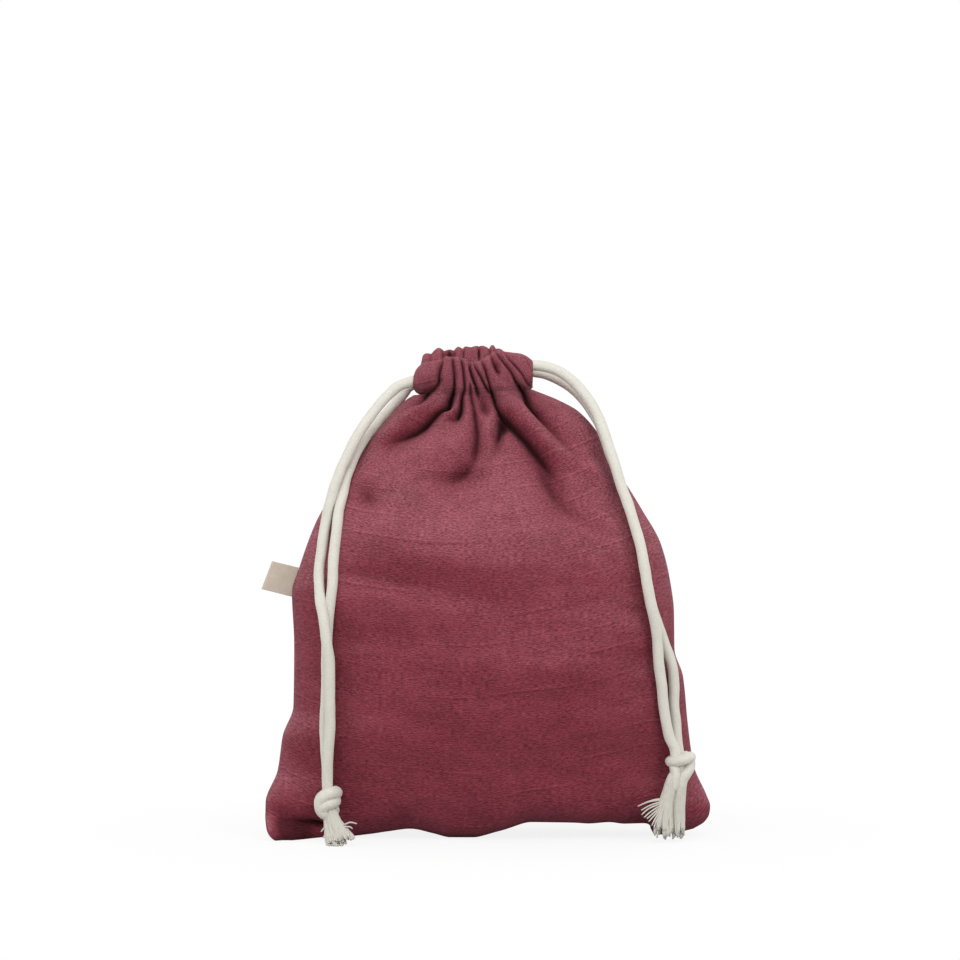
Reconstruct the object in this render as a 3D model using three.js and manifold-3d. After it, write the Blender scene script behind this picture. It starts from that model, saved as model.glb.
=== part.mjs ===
// A drawstring gift bag of cotton double gauze, drawn shut, standing on its base as it does when it is full.
// Two cloth panels are sewn together at both sides and along the bottom. The top hem of each panel is a
// casing, a tube of gathered cloth. Two cotton cords run round the mouth through both casings: one comes out
// at the left and one at the right, and the two ends of each are tied in one knot and left to fray.
// Millimetres, +Z up, the front towards -Y, the origin under the middle of the bag on the floor.

import * as THREE from "three";
import { mergeVertices } from "three/addons/utils/BufferGeometryUtils.js";
import Module from "manifold-3d";

const wasm = await Module();
wasm.setup();

// Cloth and clearances
const clothThickness = 1.2;
const seatGap = 0.3;

// The side seams as seen from the front, each point as [x, z]
const leftSeam = [
  [-113, 0], [-117.2, 9], [-117, 18], [-110, 34], [-107.5, 52], [-101.8, 68], [-101.4, 100], [-102.6, 128],
  [-98.8, 141], [-89.3, 166.4], [-77, 186], [-64.4, 204.6], [-54.3, 217.3], [-42.1, 230],
];
const rightSeam = [
  [111, 0], [118.8, 12.5], [116.5, 21], [110.5, 36], [107.3, 58], [104.7, 83.7], [100.2, 98], [99.9, 118],
  [97.8, 134.6], [93, 153.7], [82.4, 172.8], [67, 198.2], [60.7, 210.9], [49.6, 223.7], [38.4, 230],
];

// The bottom edge, lifted in two shallow arches between the places where it stands on the floor, as [x, z]
const bottomEdge = [
  [-113, 0], [-63, 0], [-50, 2.4], [-39, 4.4], [-28, 2.2], [-18, 0], [-7, 0], [5, 3.4], [18, 6.8],
  [47, 6.4], [74, 6.8], [83, 3.4], [91, 0], [100, 0], [111, 3.5],
];

// How far each panel stands out from the plane of the side seams, as [z, depth]
const bellyDepth = [
  [0, 27], [15, 32], [30, 36], [60, 42], [95, 46], [130, 45], [165, 39], [190, 32], [210, 25], [225, 18],
  [233, 13.6], [238, 13],
];
// How round the panel is from seam to seam, as [z, exponent]: low is boxy, high draws out into ears
const sectionRoundness = [[0, 1.3], [25, 1.15], [60, 0.9], [120, 0.85], [205, 0.85], [228, 0.65], [238, 0.45]];
const bottomRadius = 26;
const footFlattening = 0.6;

// The mouth, drawn together. The casings stand on the panels' top edges
const mouthLeft = -38.2;
const mouthRight = 24.9;
const stitchLineLeft = 232.4;
const stitchLineRight = 235.4;
const mouthSlit = 7;
const pleatsPerSide = 10;
const pleatDepth = 2.2;
const pleatReach = 24;
const broadFoldsPerSide = 3;
const broadFoldDepth = 2.6;
const broadFoldReach = 55;

// The casings and the two cord lanes in them
const cordDiameter = 6;
const laneClearance = 0.5;
const lowerLaneHeight = 240.5;
const upperLaneHeight = 247.5;
const casingWall = 1.5;
const casingPleatDepth = 1.7;
const frontHeader = 2.6;
const backHeader = 6.4;
const turnRadius = 6;
const turnInset = 1;
const laneEasing = 16;

// Seam allowances inside the bag
const allowanceWidth = 7;
const allowanceThickness = 1.4;
const sideSeamStart = 34;
const sideSeamEnd = 221;
const bottomSeamHalfLength = 92;

// The label, a strip folded in two and caught in the left seam
const labelWidth = 16;
const labelLength = 14.8;
const labelThickness = 1.6;
const labelPly = 0.5;
const labelHeight = 133;
// How far the seam bows out past a straight line over the label's width
const labelSeamBulge = 0.35;

// The free legs of each cord, from the casing's end down to the knot, as [x, y, z]. The first point is the
// bend where the leg leaves the casing
const leftExit = mouthLeft - seatGap - cordDiameter / 2;
const rightExit = mouthRight + seatGap + cordDiameter / 2;
const leftFrontLeg = [
  [-47.5, -9, 236.4], [-56.4, -10.5, 227.5], [-66.9, -11.6, 213.9], [-74.4, -12.5, 199.2], [-79.8, -14.4, 185],
  [-83.6, -19.5, 169.3], [-86.8, -25.3, 151.1], [-88.2, -29.2, 135.6], [-86.8, -36.3, 122.8],
  [-84.3, -40.4, 111], [-81.5, -40.4, 100], [-80.2, -39.5, 88], [-80.3, -38, 70], [-81, -35.8, 50],
  [-81.5, -33.4, 31], [-81.5, -32.4, 24],
];
const leftBackLeg = [
  [-47, 6.5, 231.5], [-55.5, 2, 223], [-61.2, -6.1, 213.5], [-65, -13.2, 203], [-69.4, -16.6, 193.5],
  [-73.5, -22.5, 180], [-76.7, -28.7, 161.6], [-78.6, -32.2, 146.1], [-79.6, -34.4, 130.7],
  [-80.8, -33.9, 119.3], [-82.6, -33.2, 105], [-83.8, -32.4, 90], [-83.5, -31.2, 70], [-83.7, -30, 50],
  [-83.4, -27.7, 31], [-83.4, -26.8, 24],
];
const rightFrontLeg = [
  [34.3, -8.5, 244], [43.6, -9.5, 236], [52.4, -11, 224.9], [59.8, -15.8, 211.3], [63.9, -20.2, 200.7],
  [69, -25.4, 186.6], [73.5, -31, 170.9], [78.5, -34.3, 156.4], [82, -36.6, 142.4], [84.6, -36.8, 128.4],
  [87.2, -34, 111.2], [89.2, -31, 97.1], [91.2, -29.5, 81], [92.8, -28.3, 66.9], [96.4, -27, 52.4],
  [98.2, -27.4, 43],
];
const rightBackLeg = [
  [34.6, 6, 243.6], [44.6, 3.5, 236], [54, -1.5, 225.5], [61.9, -9, 211.5], [65, -13.8, 200.7],
  [69.6, -19.1, 186.6], [74, -24.6, 170.9], [79, -27.8, 156.4], [82.6, -30, 142.4], [85.6, -30.2, 128.4],
  [90, -27.5, 113], [94.6, -25, 101.5], [98.3, -22.5, 87.7], [100, -21.6, 71.6], [101.8, -21.8, 56],
  [103.6, -22.8, 43],
];

// Knots and frayed ends, as [x, y, z]
const knotStrandRadius = 3.1;
const knotBall = [6, 6, 8.4];
const knotWrapRadius = 5.3;
const knotWrapHeight = 3.8;
const knotWrapTilt = THREE.MathUtils.degToRad(8);
const leftKnotCentre = [-82.6, -31.8, 19.6];
const rightKnotCentre = [101.4, -25.4, 38];
const leftFrontTail = [[-79.4, -34.6, 14], [-77.4, -37.5, 9], [-74.2, -42, 6], [-71, -46.5, 4.9]];
const leftBackTail = [[-84.6, -29, 13.6], [-84.4, -32.5, 8], [-83.6, -38, 5.3], [-82.6, -42.5, 4.3]];
const rightFrontTail = [[98, -28, 31], [95.4, -30, 23], [92, -33, 13], [88.2, -36.5, 4.4]];
const rightBackTail = [[102.8, -25.4, 31], [102.4, -27.6, 23], [101.4, -30, 13], [99.8, -33, 4.4]];
const tailTipSpread = 1.65;
const tailTipThickness = 0.75;

// Mesh densities
const columnsPerPleat = 4;
const edgeColumns = [0.0025, 0.011];
const bottomRows = 5;
const wallRows = 12;
const cordSides = 8;
const legSteps = 21;
const mouthSteps = 24;

const colours = { cloth: 0x8a4552, cord: 0xd3cfc0, label: 0xcdc0ab, thread: 0x7c3c49 };
const cloth = new THREE.MeshStandardMaterial({ color: colours.cloth, roughness: 0.95, metalness: 0 });
const cotton = new THREE.MeshStandardMaterial({ color: colours.cord, roughness: 0.9, metalness: 0 });
const tape = new THREE.MeshStandardMaterial({ color: colours.label, roughness: 0.85, metalness: 0 });
const thread = new THREE.MeshStandardMaterial({ color: colours.thread, roughness: 0.8, metalness: 0 });

// A smooth curve through points with rising first values, which never overshoots between two of them
function through(points) {
  const gaps = points.slice(1).map(([a], i) => a - points[i][0]);
  const slopes = points.slice(1).map(([, b], i) => (b - points[i][1]) / gaps[i]);
  const tangents = points.map((_, i) => {
    if (i === 0) return slopes[0];
    if (i === slopes.length) return slopes[i - 1];
    const [before, after] = [slopes[i - 1], slopes[i]];
    return before * after <= 0 ? 0 : (2 * before * after) / (before + after);
  });
  return (value) => {
    const last = points.length - 2;
    let i = points.findIndex(([a]) => a > value) - 1;
    if (i < 0) i = value < points[0][0] ? 0 : last;
    const share = THREE.MathUtils.clamp((value - points[i][0]) / gaps[i], 0, 1);
    const [square, cube] = [share ** 2, share ** 3];
    return (
      (2 * cube - 3 * square + 1) * points[i][1] +
      (cube - 2 * square + share) * gaps[i] * tangents[i] +
      (3 * square - 2 * cube) * points[i + 1][1] +
      (cube - square) * gaps[i] * tangents[i + 1]
    );
  };
}

const byHeight = (outline, end) => through([...outline, end].map(([x, z]) => [z, x]));
const leftEdge = byHeight(leftSeam, [mouthLeft, stitchLineLeft]);
const rightEdge = byHeight(rightSeam, [mouthRight, stitchLineRight]);
const bottomAt = through(bottomEdge);
const depthAt = through(bellyDepth);
const roundnessAt = through(sectionRoundness);

// The height of the stitch line under the casing, which slopes a little across the mouth
function stitchLine(x) {
  const share = (x - mouthLeft) / (mouthRight - mouthLeft);
  return THREE.MathUtils.lerp(stitchLineLeft, stitchLineRight, THREE.MathUtils.clamp(share, 0, 1));
}

// A row of rounded ridges with sharp valleys between them, from -0.5 to 0.5
const ridges = (across, count) => Math.abs(Math.sin(Math.PI * count * across)) ** 0.8 - 0.5;

// A point on the outside of a panel. across runs from the left seam to the right one, up from the bottom
// seam to the stitch line, and side is -1 for the front and 1 for the back
function panelPoint(side, across, up) {
  const angle = Math.acos(1 - 2 * across);
  const crown = Math.sin(angle);
  const startX = THREE.MathUtils.lerp(leftSeam[0][0], rightSeam[0][0], across);
  const base = bottomAt(startX);
  const bottomShare = bottomRows / (bottomRows + wallRows);
  const turn = Math.min(1, up / bottomShare) * (Math.PI / 2);
  const curve = Math.max(0, (1 - Math.sqrt(Math.cos(turn))) * bottomRadius - footFlattening);
  const underside = THREE.MathUtils.lerp(
    (turn / (Math.PI / 2)) * bottomRadius,
    (curve * bottomRadius) / (bottomRadius - footFlattening),
    Math.min(1, crown * 2.5),
  );
  const top = stitchLine(THREE.MathUtils.lerp(mouthLeft, mouthRight, across)) - seatGap;
  const climb = 1 - (1 - Math.max(0, (up - bottomShare) / (1 - bottomShare))) ** 1.3;
  const z = climb > 0 ? THREE.MathUtils.lerp(base + bottomRadius, top, climb) : base + underside;
  const x = THREE.MathUtils.lerp(leftEdge(z), rightEdge(z), across);
  const below = top - z;
  const fade = Math.min(1, crown * 1.6) ** 2;
  const folds =
    ridges(across, pleatsPerSide) * pleatDepth * Math.exp(-below / pleatReach) +
    ridges(across * 0.94 + 0.03, broadFoldsPerSide) *
      broadFoldDepth * Math.exp(-below / broadFoldReach) * Math.min(1, below / pleatReach);
  const out = depthAt(z) * crown ** roundnessAt(z) * Math.sqrt(Math.sin(Math.max(turn, 0))) + folds * fade;
  return new THREE.Vector3(x, side * (seatGap / 2 + Math.max(0, out)), z);
}

// A closed solid between an outer and an inner grid of points with the same rows and columns
function sheetGeometry(outer, inner) {
  const rows = outer.length;
  const columns = outer[0].length;
  const positions = [...outer.flat(), ...inner.flat()].flatMap((p) => [p.x, p.y, p.z]);
  const at = (layer, row, column) => layer * rows * columns + row * columns + column;
  const indices = [];
  const quad = (a, b, c, d) => indices.push(a, b, c, a, c, d);
  for (let r = 0; r < rows - 1; r++) {
    for (let c = 0; c < columns - 1; c++) {
      quad(at(0, r, c), at(0, r, c + 1), at(0, r + 1, c + 1), at(0, r + 1, c));
      quad(at(1, r, c), at(1, r + 1, c), at(1, r + 1, c + 1), at(1, r, c + 1));
    }
    quad(at(0, r, 0), at(0, r + 1, 0), at(1, r + 1, 0), at(1, r, 0));
    quad(at(0, r, columns - 1), at(1, r, columns - 1), at(1, r + 1, columns - 1), at(0, r + 1, columns - 1));
  }
  for (let c = 0; c < columns - 1; c++) {
    quad(at(0, 0, c), at(1, 0, c), at(1, 0, c + 1), at(0, 0, c + 1));
    quad(at(0, rows - 1, c), at(0, rows - 1, c + 1), at(1, rows - 1, c + 1), at(1, rows - 1, c));
  }
  return facingOut(indexed(positions, indices));
}

function indexed(positions, indices) {
  const geometry = new THREE.BufferGeometry();
  geometry.setAttribute("position", new THREE.Float32BufferAttribute(positions, 3));
  geometry.setIndex(indices);
  return geometry;
}

// Turns every face round if the solid's volume comes out negative
function facingOut(geometry) {
  const p = geometry.getAttribute("position");
  const i = geometry.getIndex().array;
  const [a, b, c] = [new THREE.Vector3(), new THREE.Vector3(), new THREE.Vector3()];
  let volume = 0;
  for (let k = 0; k < i.length; k += 3) {
    a.fromBufferAttribute(p, i[k]);
    b.fromBufferAttribute(p, i[k + 1]);
    c.fromBufferAttribute(p, i[k + 2]);
    volume += a.dot(b.cross(c));
  }
  if (volume < 0) {
    for (let k = 0; k < i.length; k += 3) [i[k + 1], i[k + 2]] = [i[k + 2], i[k + 1]];
  }
  return geometry;
}

// Booleans work on solids with merged vertices and come back as geometry
function toSolid(geometry) {
  const bare = geometry.clone();
  bare.deleteAttribute("normal");
  bare.deleteAttribute("uv");
  const merged = mergeVertices(bare, 1e-4);
  const mesh = new wasm.Mesh({
    numProp: 3,
    vertProperties: new Float32Array(merged.getAttribute("position").array),
    triVerts: new Uint32Array(merged.getIndex().array),
  });
  return new wasm.Manifold(mesh);
}

function toGeometry(solid) {
  const mesh = solid.getMesh();
  return indexed(Array.from(mesh.vertProperties), Array.from(mesh.triVerts));
}

// The stations of a panel's mesh, from seam to seam and from the bottom up
const pleatSteps = pleatsPerSide * columnsPerPleat;
const pleatColumns = Array.from({ length: pleatSteps - 1 }, (_, i) => (i + 1) / pleatSteps);
const farColumns = edgeColumns.map((e) => 1 - e).reverse();
const acrossStations = [0, ...edgeColumns, ...pleatColumns, ...farColumns, 1];
const rows = bottomRows + wallRows;
const upStations = Array.from({ length: rows + 1 }, (_, i) => i / rows);

// A panel: the outer surface, and the same surface one cloth thickness further in
function panelGeometry(side) {
  const outer = upStations.map((up) => acrossStations.map((across) => panelPoint(side, across, up)));
  const inner = [];
  const small = 1e-3;
  for (let r = 0; r <= rows; r++) {
    inner.push(
      outer[r].map((point, c) => {
        const row = outer[r];
        const along = row[Math.min(c + 1, row.length - 1)].clone().sub(row[Math.max(c - 1, 0)]);
        const upward = outer[Math.min(r + 1, rows)][c].clone().sub(outer[Math.max(r - 1, 0)][c]);
        const inward = upward.cross(along).multiplyScalar(-side).normalize();
        if (c === 0) inward.set(1, 0, 0);
        if (c === row.length - 1) inward.set(-1, 0, 0);
        const moved = point.clone().addScaledVector(inward, clothThickness);
        moved.y = side * Math.max(seatGap / 2, side * moved.y);
        moved.z = Math.min(moved.z, stitchLine(moved.x) - seatGap - small);
        return moved;
      }),
    );
  }
  return sheetGeometry(outer, inner);
}

// Cord lanes: y of the middle of a casing's channel
const channelWidth = cordDiameter + 2 * laneClearance;
const laneOffset = mouthSlit / 2 + casingWall + channelWidth / 2;
const channelBottom = lowerLaneHeight - channelWidth / 2;
const channelTop = upperLaneHeight + channelWidth / 2;

// A ring of points round a casing at one place along it. The tube is pinched at the bottom, where the
// stitching holds the hem to the panel
function casingRing(side, x, header, pinchTo) {
  const share = (x - mouthLeft) / (mouthRight - mouthLeft);
  const ridge = ridges(share, pleatsPerSide) + 0.5;
  const endRounding = Math.min(1, (Math.sin(Math.PI * share) * 6) ** 0.5);
  const halfDepth = channelWidth / 2 + casingWall;
  const bottom = stitchLine(x);
  const top = channelTop + casingWall + header * (0.35 + 0.65 * ridge) * endRounding;
  const ring = [];
  const points = 12;
  for (let i = 0; i < points; i++) {
    const angle = (i / points) * Math.PI * 2;
    const outwards = Math.sign(Math.cos(angle)) * Math.abs(Math.cos(angle)) ** 0.6;
    const upwards = Math.sign(Math.sin(angle)) * Math.abs(Math.sin(angle)) ** 0.6;
    const lowness = Math.max(0, -Math.sin(angle)) ** 3;
    const pleat = outwards > 0 ? casingPleatDepth * ridge * outwards * endRounding : 0;
    const y = laneOffset + halfDepth * outwards * (1 - 0.75 * lowness) + pleat + pinchTo * lowness;
    const z = THREE.MathUtils.lerp(bottom, top, (upwards + 1) / 2);
    ring.push(new THREE.Vector3(x, side * y, z));
  }
  return ring;
}

// A solid through a row of rings, closed by a flat fan at each end
function loftGeometry(rings) {
  const count = rings[0].length;
  const centre = (ring) => ring.reduce((sum, p) => sum.add(p), new THREE.Vector3()).divideScalar(count);
  const points = [...rings.flat(), centre(rings[0]), centre(rings[rings.length - 1])];
  const indices = [];
  for (let r = 0; r < rings.length - 1; r++) {
    for (let i = 0; i < count; i++) {
      const next = (i + 1) % count;
      const [a, b] = [r * count + i, r * count + next];
      indices.push(a, b, b + count, a, b + count, a + count);
    }
  }
  const [first, last, end] = [rings.length * count, rings.length * count + 1, (rings.length - 1) * count];
  for (let i = 0; i < count; i++) {
    const next = (i + 1) % count;
    indices.push(first, next, i, last, end + i, end + next);
  }
  return facingOut(indexed(points.flatMap((p) => [p.x, p.y, p.z]), indices));
}

// A round section, and a tube of it along a curve
function circle(radius, sides) {
  const points = [];
  for (let i = 0; i < sides; i++) {
    const angle = (i / sides) * Math.PI * 2;
    points.push(new THREE.Vector2(radius * Math.cos(angle), radius * Math.sin(angle)));
  }
  return new THREE.Shape(points);
}

function tube(points, radius, steps, sides = cordSides, closed = false) {
  const path = new THREE.CatmullRomCurve3(points, closed, "centripetal");
  return new THREE.ExtrudeGeometry(circle(radius, sides), { steps, extrudePath: path, bevelEnabled: false });
}

// The route of a cord round the mouth: in through one casing, across the far end of the mouth and back
// through the other. from is 1 for the cord that comes out at the right and -1 for the left one
function mouthRoute(from, height) {
  const exit = from > 0 ? mouthRight : mouthLeft;
  const far = (from > 0 ? mouthLeft : mouthRight) + from * (cordDiameter / 2 + turnInset);
  const points = [];
  const lanes = [-laneOffset, laneOffset];
  lanes.forEach((lane, i) => {
    const straight = [exit, exit - from * laneEasing, exit - 2 * from * laneEasing, far + from * turnRadius];
    const stretch = straight.map((x) => new THREE.Vector3(x, lane, height));
    points.push(...(i ? stretch.reverse() : stretch));
    if (!i) {
      for (const turn of [-60, -30, 0, 30, 60]) {
        const angle = THREE.MathUtils.degToRad(turn);
        const x = far + from * turnRadius * (1 - Math.cos(angle));
        points.push(new THREE.Vector3(x, laneOffset * Math.sin(angle), height));
      }
    }
  });
  return points;
}

const leftMouthRoute = mouthRoute(-1, lowerLaneHeight);
const rightMouthRoute = mouthRoute(1, upperLaneHeight);

// A casing: the gathered tube, less its channel and the room for each cord where it turns
function casingGeometry(side, header) {
  const rings = [];
  const steps = pleatsPerSide * columnsPerPleat;
  for (let i = 0; i <= steps; i++) {
    const x = THREE.MathUtils.lerp(mouthLeft, mouthRight, i / steps);
    rings.push(casingRing(side, x, header, depthAt(stitchLine(x)) - clothThickness / 2 - laneOffset));
  }
  const height = channelTop - channelBottom - channelWidth;
  const section = new THREE.Shape();
  section.absarc(0, -height / 2, channelWidth / 2, Math.PI, 2 * Math.PI);
  section.absarc(0, height / 2, channelWidth / 2, 0, Math.PI);
  const length = mouthRight - mouthLeft + 20;
  const channel = new THREE.ExtrudeGeometry(section, { depth: length, bevelEnabled: false, curveSegments: 5 });
  channel.rotateX(Math.PI / 2);
  channel.rotateZ(Math.PI / 2);
  channel.translate(mouthLeft - 10, side * laneOffset, (channelBottom + channelTop) / 2);
  let solid = toSolid(loftGeometry(rings)).subtract(toSolid(channel));
  for (const route of [leftMouthRoute, rightMouthRoute]) {
    solid = solid.subtract(toSolid(tube(route, cordDiameter / 2 + seatGap, mouthSteps)));
  }
  return toGeometry(solid);
}

// A leg: a round bend at the casing's end, and the cord hanging from it
const vectors = (points) => points.map((p) => new THREE.Vector3(...p));
const fromExit = (x, side, height, points) => vectors([[x, side * laneOffset, height], ...points]);
const legRoutes = {
  left_cord_front_leg: fromExit(leftExit, -1, lowerLaneHeight, leftFrontLeg),
  left_cord_back_leg: fromExit(leftExit, 1, lowerLaneHeight, leftBackLeg),
  right_cord_front_leg: fromExit(rightExit, -1, upperLaneHeight, rightFrontLeg),
  right_cord_back_leg: fromExit(rightExit, 1, upperLaneHeight, rightBackLeg),
};

function legSolid(route, radius) {
  const bend = new THREE.SphereGeometry(radius, cordSides, cordSides / 2 + 2);
  bend.translate(...route[0]);
  return toSolid(tube(route, radius, legSteps)).add(toSolid(bend));
}

// A frayed end: the strands fan out along the route, wider from side to side and flatter
function tailGeometry(points) {
  const path = new THREE.CatmullRomCurve3(vectors(points), false, "centripetal");
  const rings = [];
  const steps = 7;
  const strands = 6;
  const sides = strands * 2;
  for (let i = 0; i <= steps; i++) {
    const share = i / steps;
    const centre = path.getPoint(share);
    const along = path.getTangent(share);
    const across = new THREE.Vector3(0, 1, 0).cross(along).normalize();
    const outwards = new THREE.Vector3().crossVectors(along, across);
    const width = THREE.MathUtils.lerp(0.86, tailTipSpread, share ** 1.4) * (cordDiameter / 2);
    const depth = THREE.MathUtils.lerp(0.86, tailTipThickness, share) * (cordDiameter / 2);
    const ring = [];
    for (let k = 0; k < sides; k++) {
      const angle = (k / sides) * Math.PI * 2;
      const flute = k % 2 ? 1 : 0.86;
      const sideways = across.clone().multiplyScalar(width * flute * Math.cos(angle));
      ring.push(centre.clone().add(sideways).addScaledVector(outwards, depth * flute * Math.sin(angle)));
    }
    rings.push(ring);
  }
  return loftGeometry(rings);
}

// An overhand knot in both legs at once: a ball of cord, a wrap round its upper half and a lobe that comes
// down beside it and tucks in at the bottom. hand is 1 where the lobe is on the right and -1 on the left
function knotGeometry(centre, hand, legs, tails) {
  const ball = new THREE.SphereGeometry(1, 12, 8);
  ball.rotateX(Math.PI / 2);
  ball.scale(...knotBall);
  const wrap = new THREE.TorusGeometry(knotWrapRadius, knotStrandRadius, 7, 14);
  wrap.rotateY(-hand * knotWrapTilt);
  wrap.translate(0, 0, knotWrapHeight);
  const lobe = tube(
    vectors([
      [hand * 3.5, -2, 3], [hand * 5.6, -2.4, -0.5], [hand * 4.4, -3.2, -4.6], [hand * 0.6, -3, -6.4],
    ]),
    knotStrandRadius,
    8,
  );
  let solid = toSolid(ball).add(toSolid(wrap)).add(toSolid(lobe)).translate(centre);
  for (const leg of legs) solid = solid.subtract(legSolid(legRoutes[leg], cordDiameter / 2 + seatGap));
  for (const end of tails) solid = solid.subtract(toSolid(tube(vectors(end), cordDiameter / 2 + seatGap, 6)));
  return toGeometry(solid);
}

// Seam allowances, sewn together and overcast, standing into the bag from a seam
function allowanceGeometry(seam, inwards) {
  const near = clothThickness + seatGap;
  const outline = [near, near + allowanceWidth].map((distance) =>
    seam.map((point) => new THREE.Vector2(point.x + inwards.x * distance, point.z + inwards.z * distance)),
  );
  return uprightPlate([...outline[0], ...outline[1].reverse()], allowanceThickness);
}

function sideSeamGeometry(across, inwards) {
  const seam = upStations.map((up) => panelPoint(1, across, up));
  return allowanceGeometry(seam.filter((p) => p.z > sideSeamStart && p.z < sideSeamEnd), { x: inwards, z: 0 });
}

function bottomSeamGeometry() {
  const seam = acrossStations.map((across) => panelPoint(1, across, 0));
  return allowanceGeometry(seam.filter((p) => Math.abs(p.x) < bottomSeamHalfLength), { x: 0, z: 1 });
}

// A plate with its outline in x and z, centred on the plane of the seams
function uprightPlate(outline, thickness) {
  const geometry = new THREE.ExtrudeGeometry(new THREE.Shape(outline), { depth: thickness, bevelEnabled: false });
  geometry.rotateX(Math.PI / 2);
  geometry.translate(0, thickness / 2, 0);
  return geometry;
}

// The label seen along its fold: a narrow loop of tape from the seam to the fold and back. Its seam edge is
// a rounded nose, which it turns about
const labelEnds = [labelHeight - labelWidth / 2, labelHeight + labelWidth / 2].map(leftEdge);
const labelLean = Math.atan2(labelEnds[1] - labelEnds[0], labelWidth);

function labelGeometry() {
  const fold = labelThickness / 2;
  const outline = new THREE.Shape();
  outline.absarc(0, 0, labelPly, -Math.PI / 2, Math.PI / 2, false);
  outline.lineTo(-labelLength * 0.35, fold);
  outline.absarc(-labelLength + fold, 0, fold, Math.PI / 2, (Math.PI * 3) / 2, false);
  outline.lineTo(-labelLength * 0.35, -fold);
  outline.closePath();
  const inside = new THREE.Path();
  inside.moveTo(-labelLength * 0.3, 0);
  inside.lineTo(-labelLength * 0.4, fold - labelPly);
  inside.absarc(-labelLength + fold, 0, fold - labelPly, Math.PI / 2, (Math.PI * 3) / 2, false);
  inside.lineTo(-labelLength * 0.4, labelPly - fold);
  inside.closePath();
  outline.holes.push(inside);
  const settings = { depth: labelWidth, bevelEnabled: false, curveSegments: 4 };
  const geometry = new THREE.ExtrudeGeometry(outline, settings);
  geometry.translate(0, 0, -labelWidth / 2);
  return geometry;
}

// Scene graph
const bag = new THREE.Group();

function add(name, geometry, material, parent = bag) {
  const mesh = new THREE.Mesh(geometry, material);
  mesh.name = name;
  parent.add(mesh);
  return mesh;
}

add("front_panel", panelGeometry(-1), cloth);
add("back_panel", panelGeometry(1), cloth);
add("front_casing", casingGeometry(-1, frontHeader), cloth);
add("back_casing", casingGeometry(1, backHeader), cloth);
add("left_side_seam", sideSeamGeometry(0, 1), thread);
add("right_side_seam", sideSeamGeometry(1, -1), thread);
add("bottom_seam", bottomSeamGeometry(), thread);

const label = add("side_label", labelGeometry(), tape);
const labelStandOff = (seatGap + labelPly + labelSeamBulge) / Math.cos(labelLean);
label.position.set(leftEdge(labelHeight) - labelStandOff, 0, labelHeight);
label.rotation.y = labelLean;

add("left_cord_mouth_run", tube(leftMouthRoute, cordDiameter / 2, mouthSteps), cotton);
add("right_cord_mouth_run", tube(rightMouthRoute, cordDiameter / 2, mouthSteps), cotton);
for (const [name, route] of Object.entries(legRoutes)) {
  add(name, toGeometry(legSolid(route, cordDiameter / 2)), cotton);
}
const leftLegs = ["left_cord_front_leg", "left_cord_back_leg"];
const rightLegs = ["right_cord_front_leg", "right_cord_back_leg"];
add("left_knot", knotGeometry(leftKnotCentre, -1, leftLegs, [leftFrontTail, leftBackTail]), cotton);
add("right_knot", knotGeometry(rightKnotCentre, 1, rightLegs, [rightFrontTail, rightBackTail]), cotton);
add("left_front_tail", tailGeometry(leftFrontTail), cotton);
add("left_back_tail", tailGeometry(leftBackTail), cotton);
add("right_front_tail", tailGeometry(rightFrontTail), cotton);
add("right_back_tail", tailGeometry(rightBackTail), cotton);

export default bag;
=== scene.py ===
import math

import bpy
import numpy as np
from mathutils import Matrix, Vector


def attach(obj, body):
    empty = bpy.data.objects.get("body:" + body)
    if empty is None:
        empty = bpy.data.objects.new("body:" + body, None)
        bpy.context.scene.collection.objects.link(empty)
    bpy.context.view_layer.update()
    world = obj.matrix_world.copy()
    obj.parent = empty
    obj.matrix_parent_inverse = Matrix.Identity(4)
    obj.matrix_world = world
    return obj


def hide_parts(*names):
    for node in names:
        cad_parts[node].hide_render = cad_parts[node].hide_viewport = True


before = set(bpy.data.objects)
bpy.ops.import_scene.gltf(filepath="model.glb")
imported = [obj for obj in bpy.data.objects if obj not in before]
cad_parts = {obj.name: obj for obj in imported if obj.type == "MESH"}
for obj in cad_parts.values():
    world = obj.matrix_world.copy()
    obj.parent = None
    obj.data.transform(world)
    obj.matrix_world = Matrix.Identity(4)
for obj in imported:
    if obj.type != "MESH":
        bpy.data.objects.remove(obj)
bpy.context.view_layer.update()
scene = bpy.context.scene
mm = 0.001  # shapes below are in millimetres, and meshes are in metres
print("frame loaded:", len(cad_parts), "nodes")

# The view of the photograph: level, 1.5 m in front of the bag, at about three quarters of its height
photoView = {"place": (-2.9, -1500, 187.6), "lens": 106.13, "sensorWidth": 36}


def makeCamera():
    data = bpy.data.cameras.new("photoCamera")
    data.lens, data.sensor_width = photoView["lens"], photoView["sensorWidth"]
    camera = bpy.data.objects.new("photoCamera", data)
    camera.location = [v * mm for v in photoView["place"]]
    camera.rotation_euler = (math.pi / 2, 0, 0)
    scene.collection.objects.link(camera)
    scene.camera = camera


makeCamera()
print("camera placed")


# Curves

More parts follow.
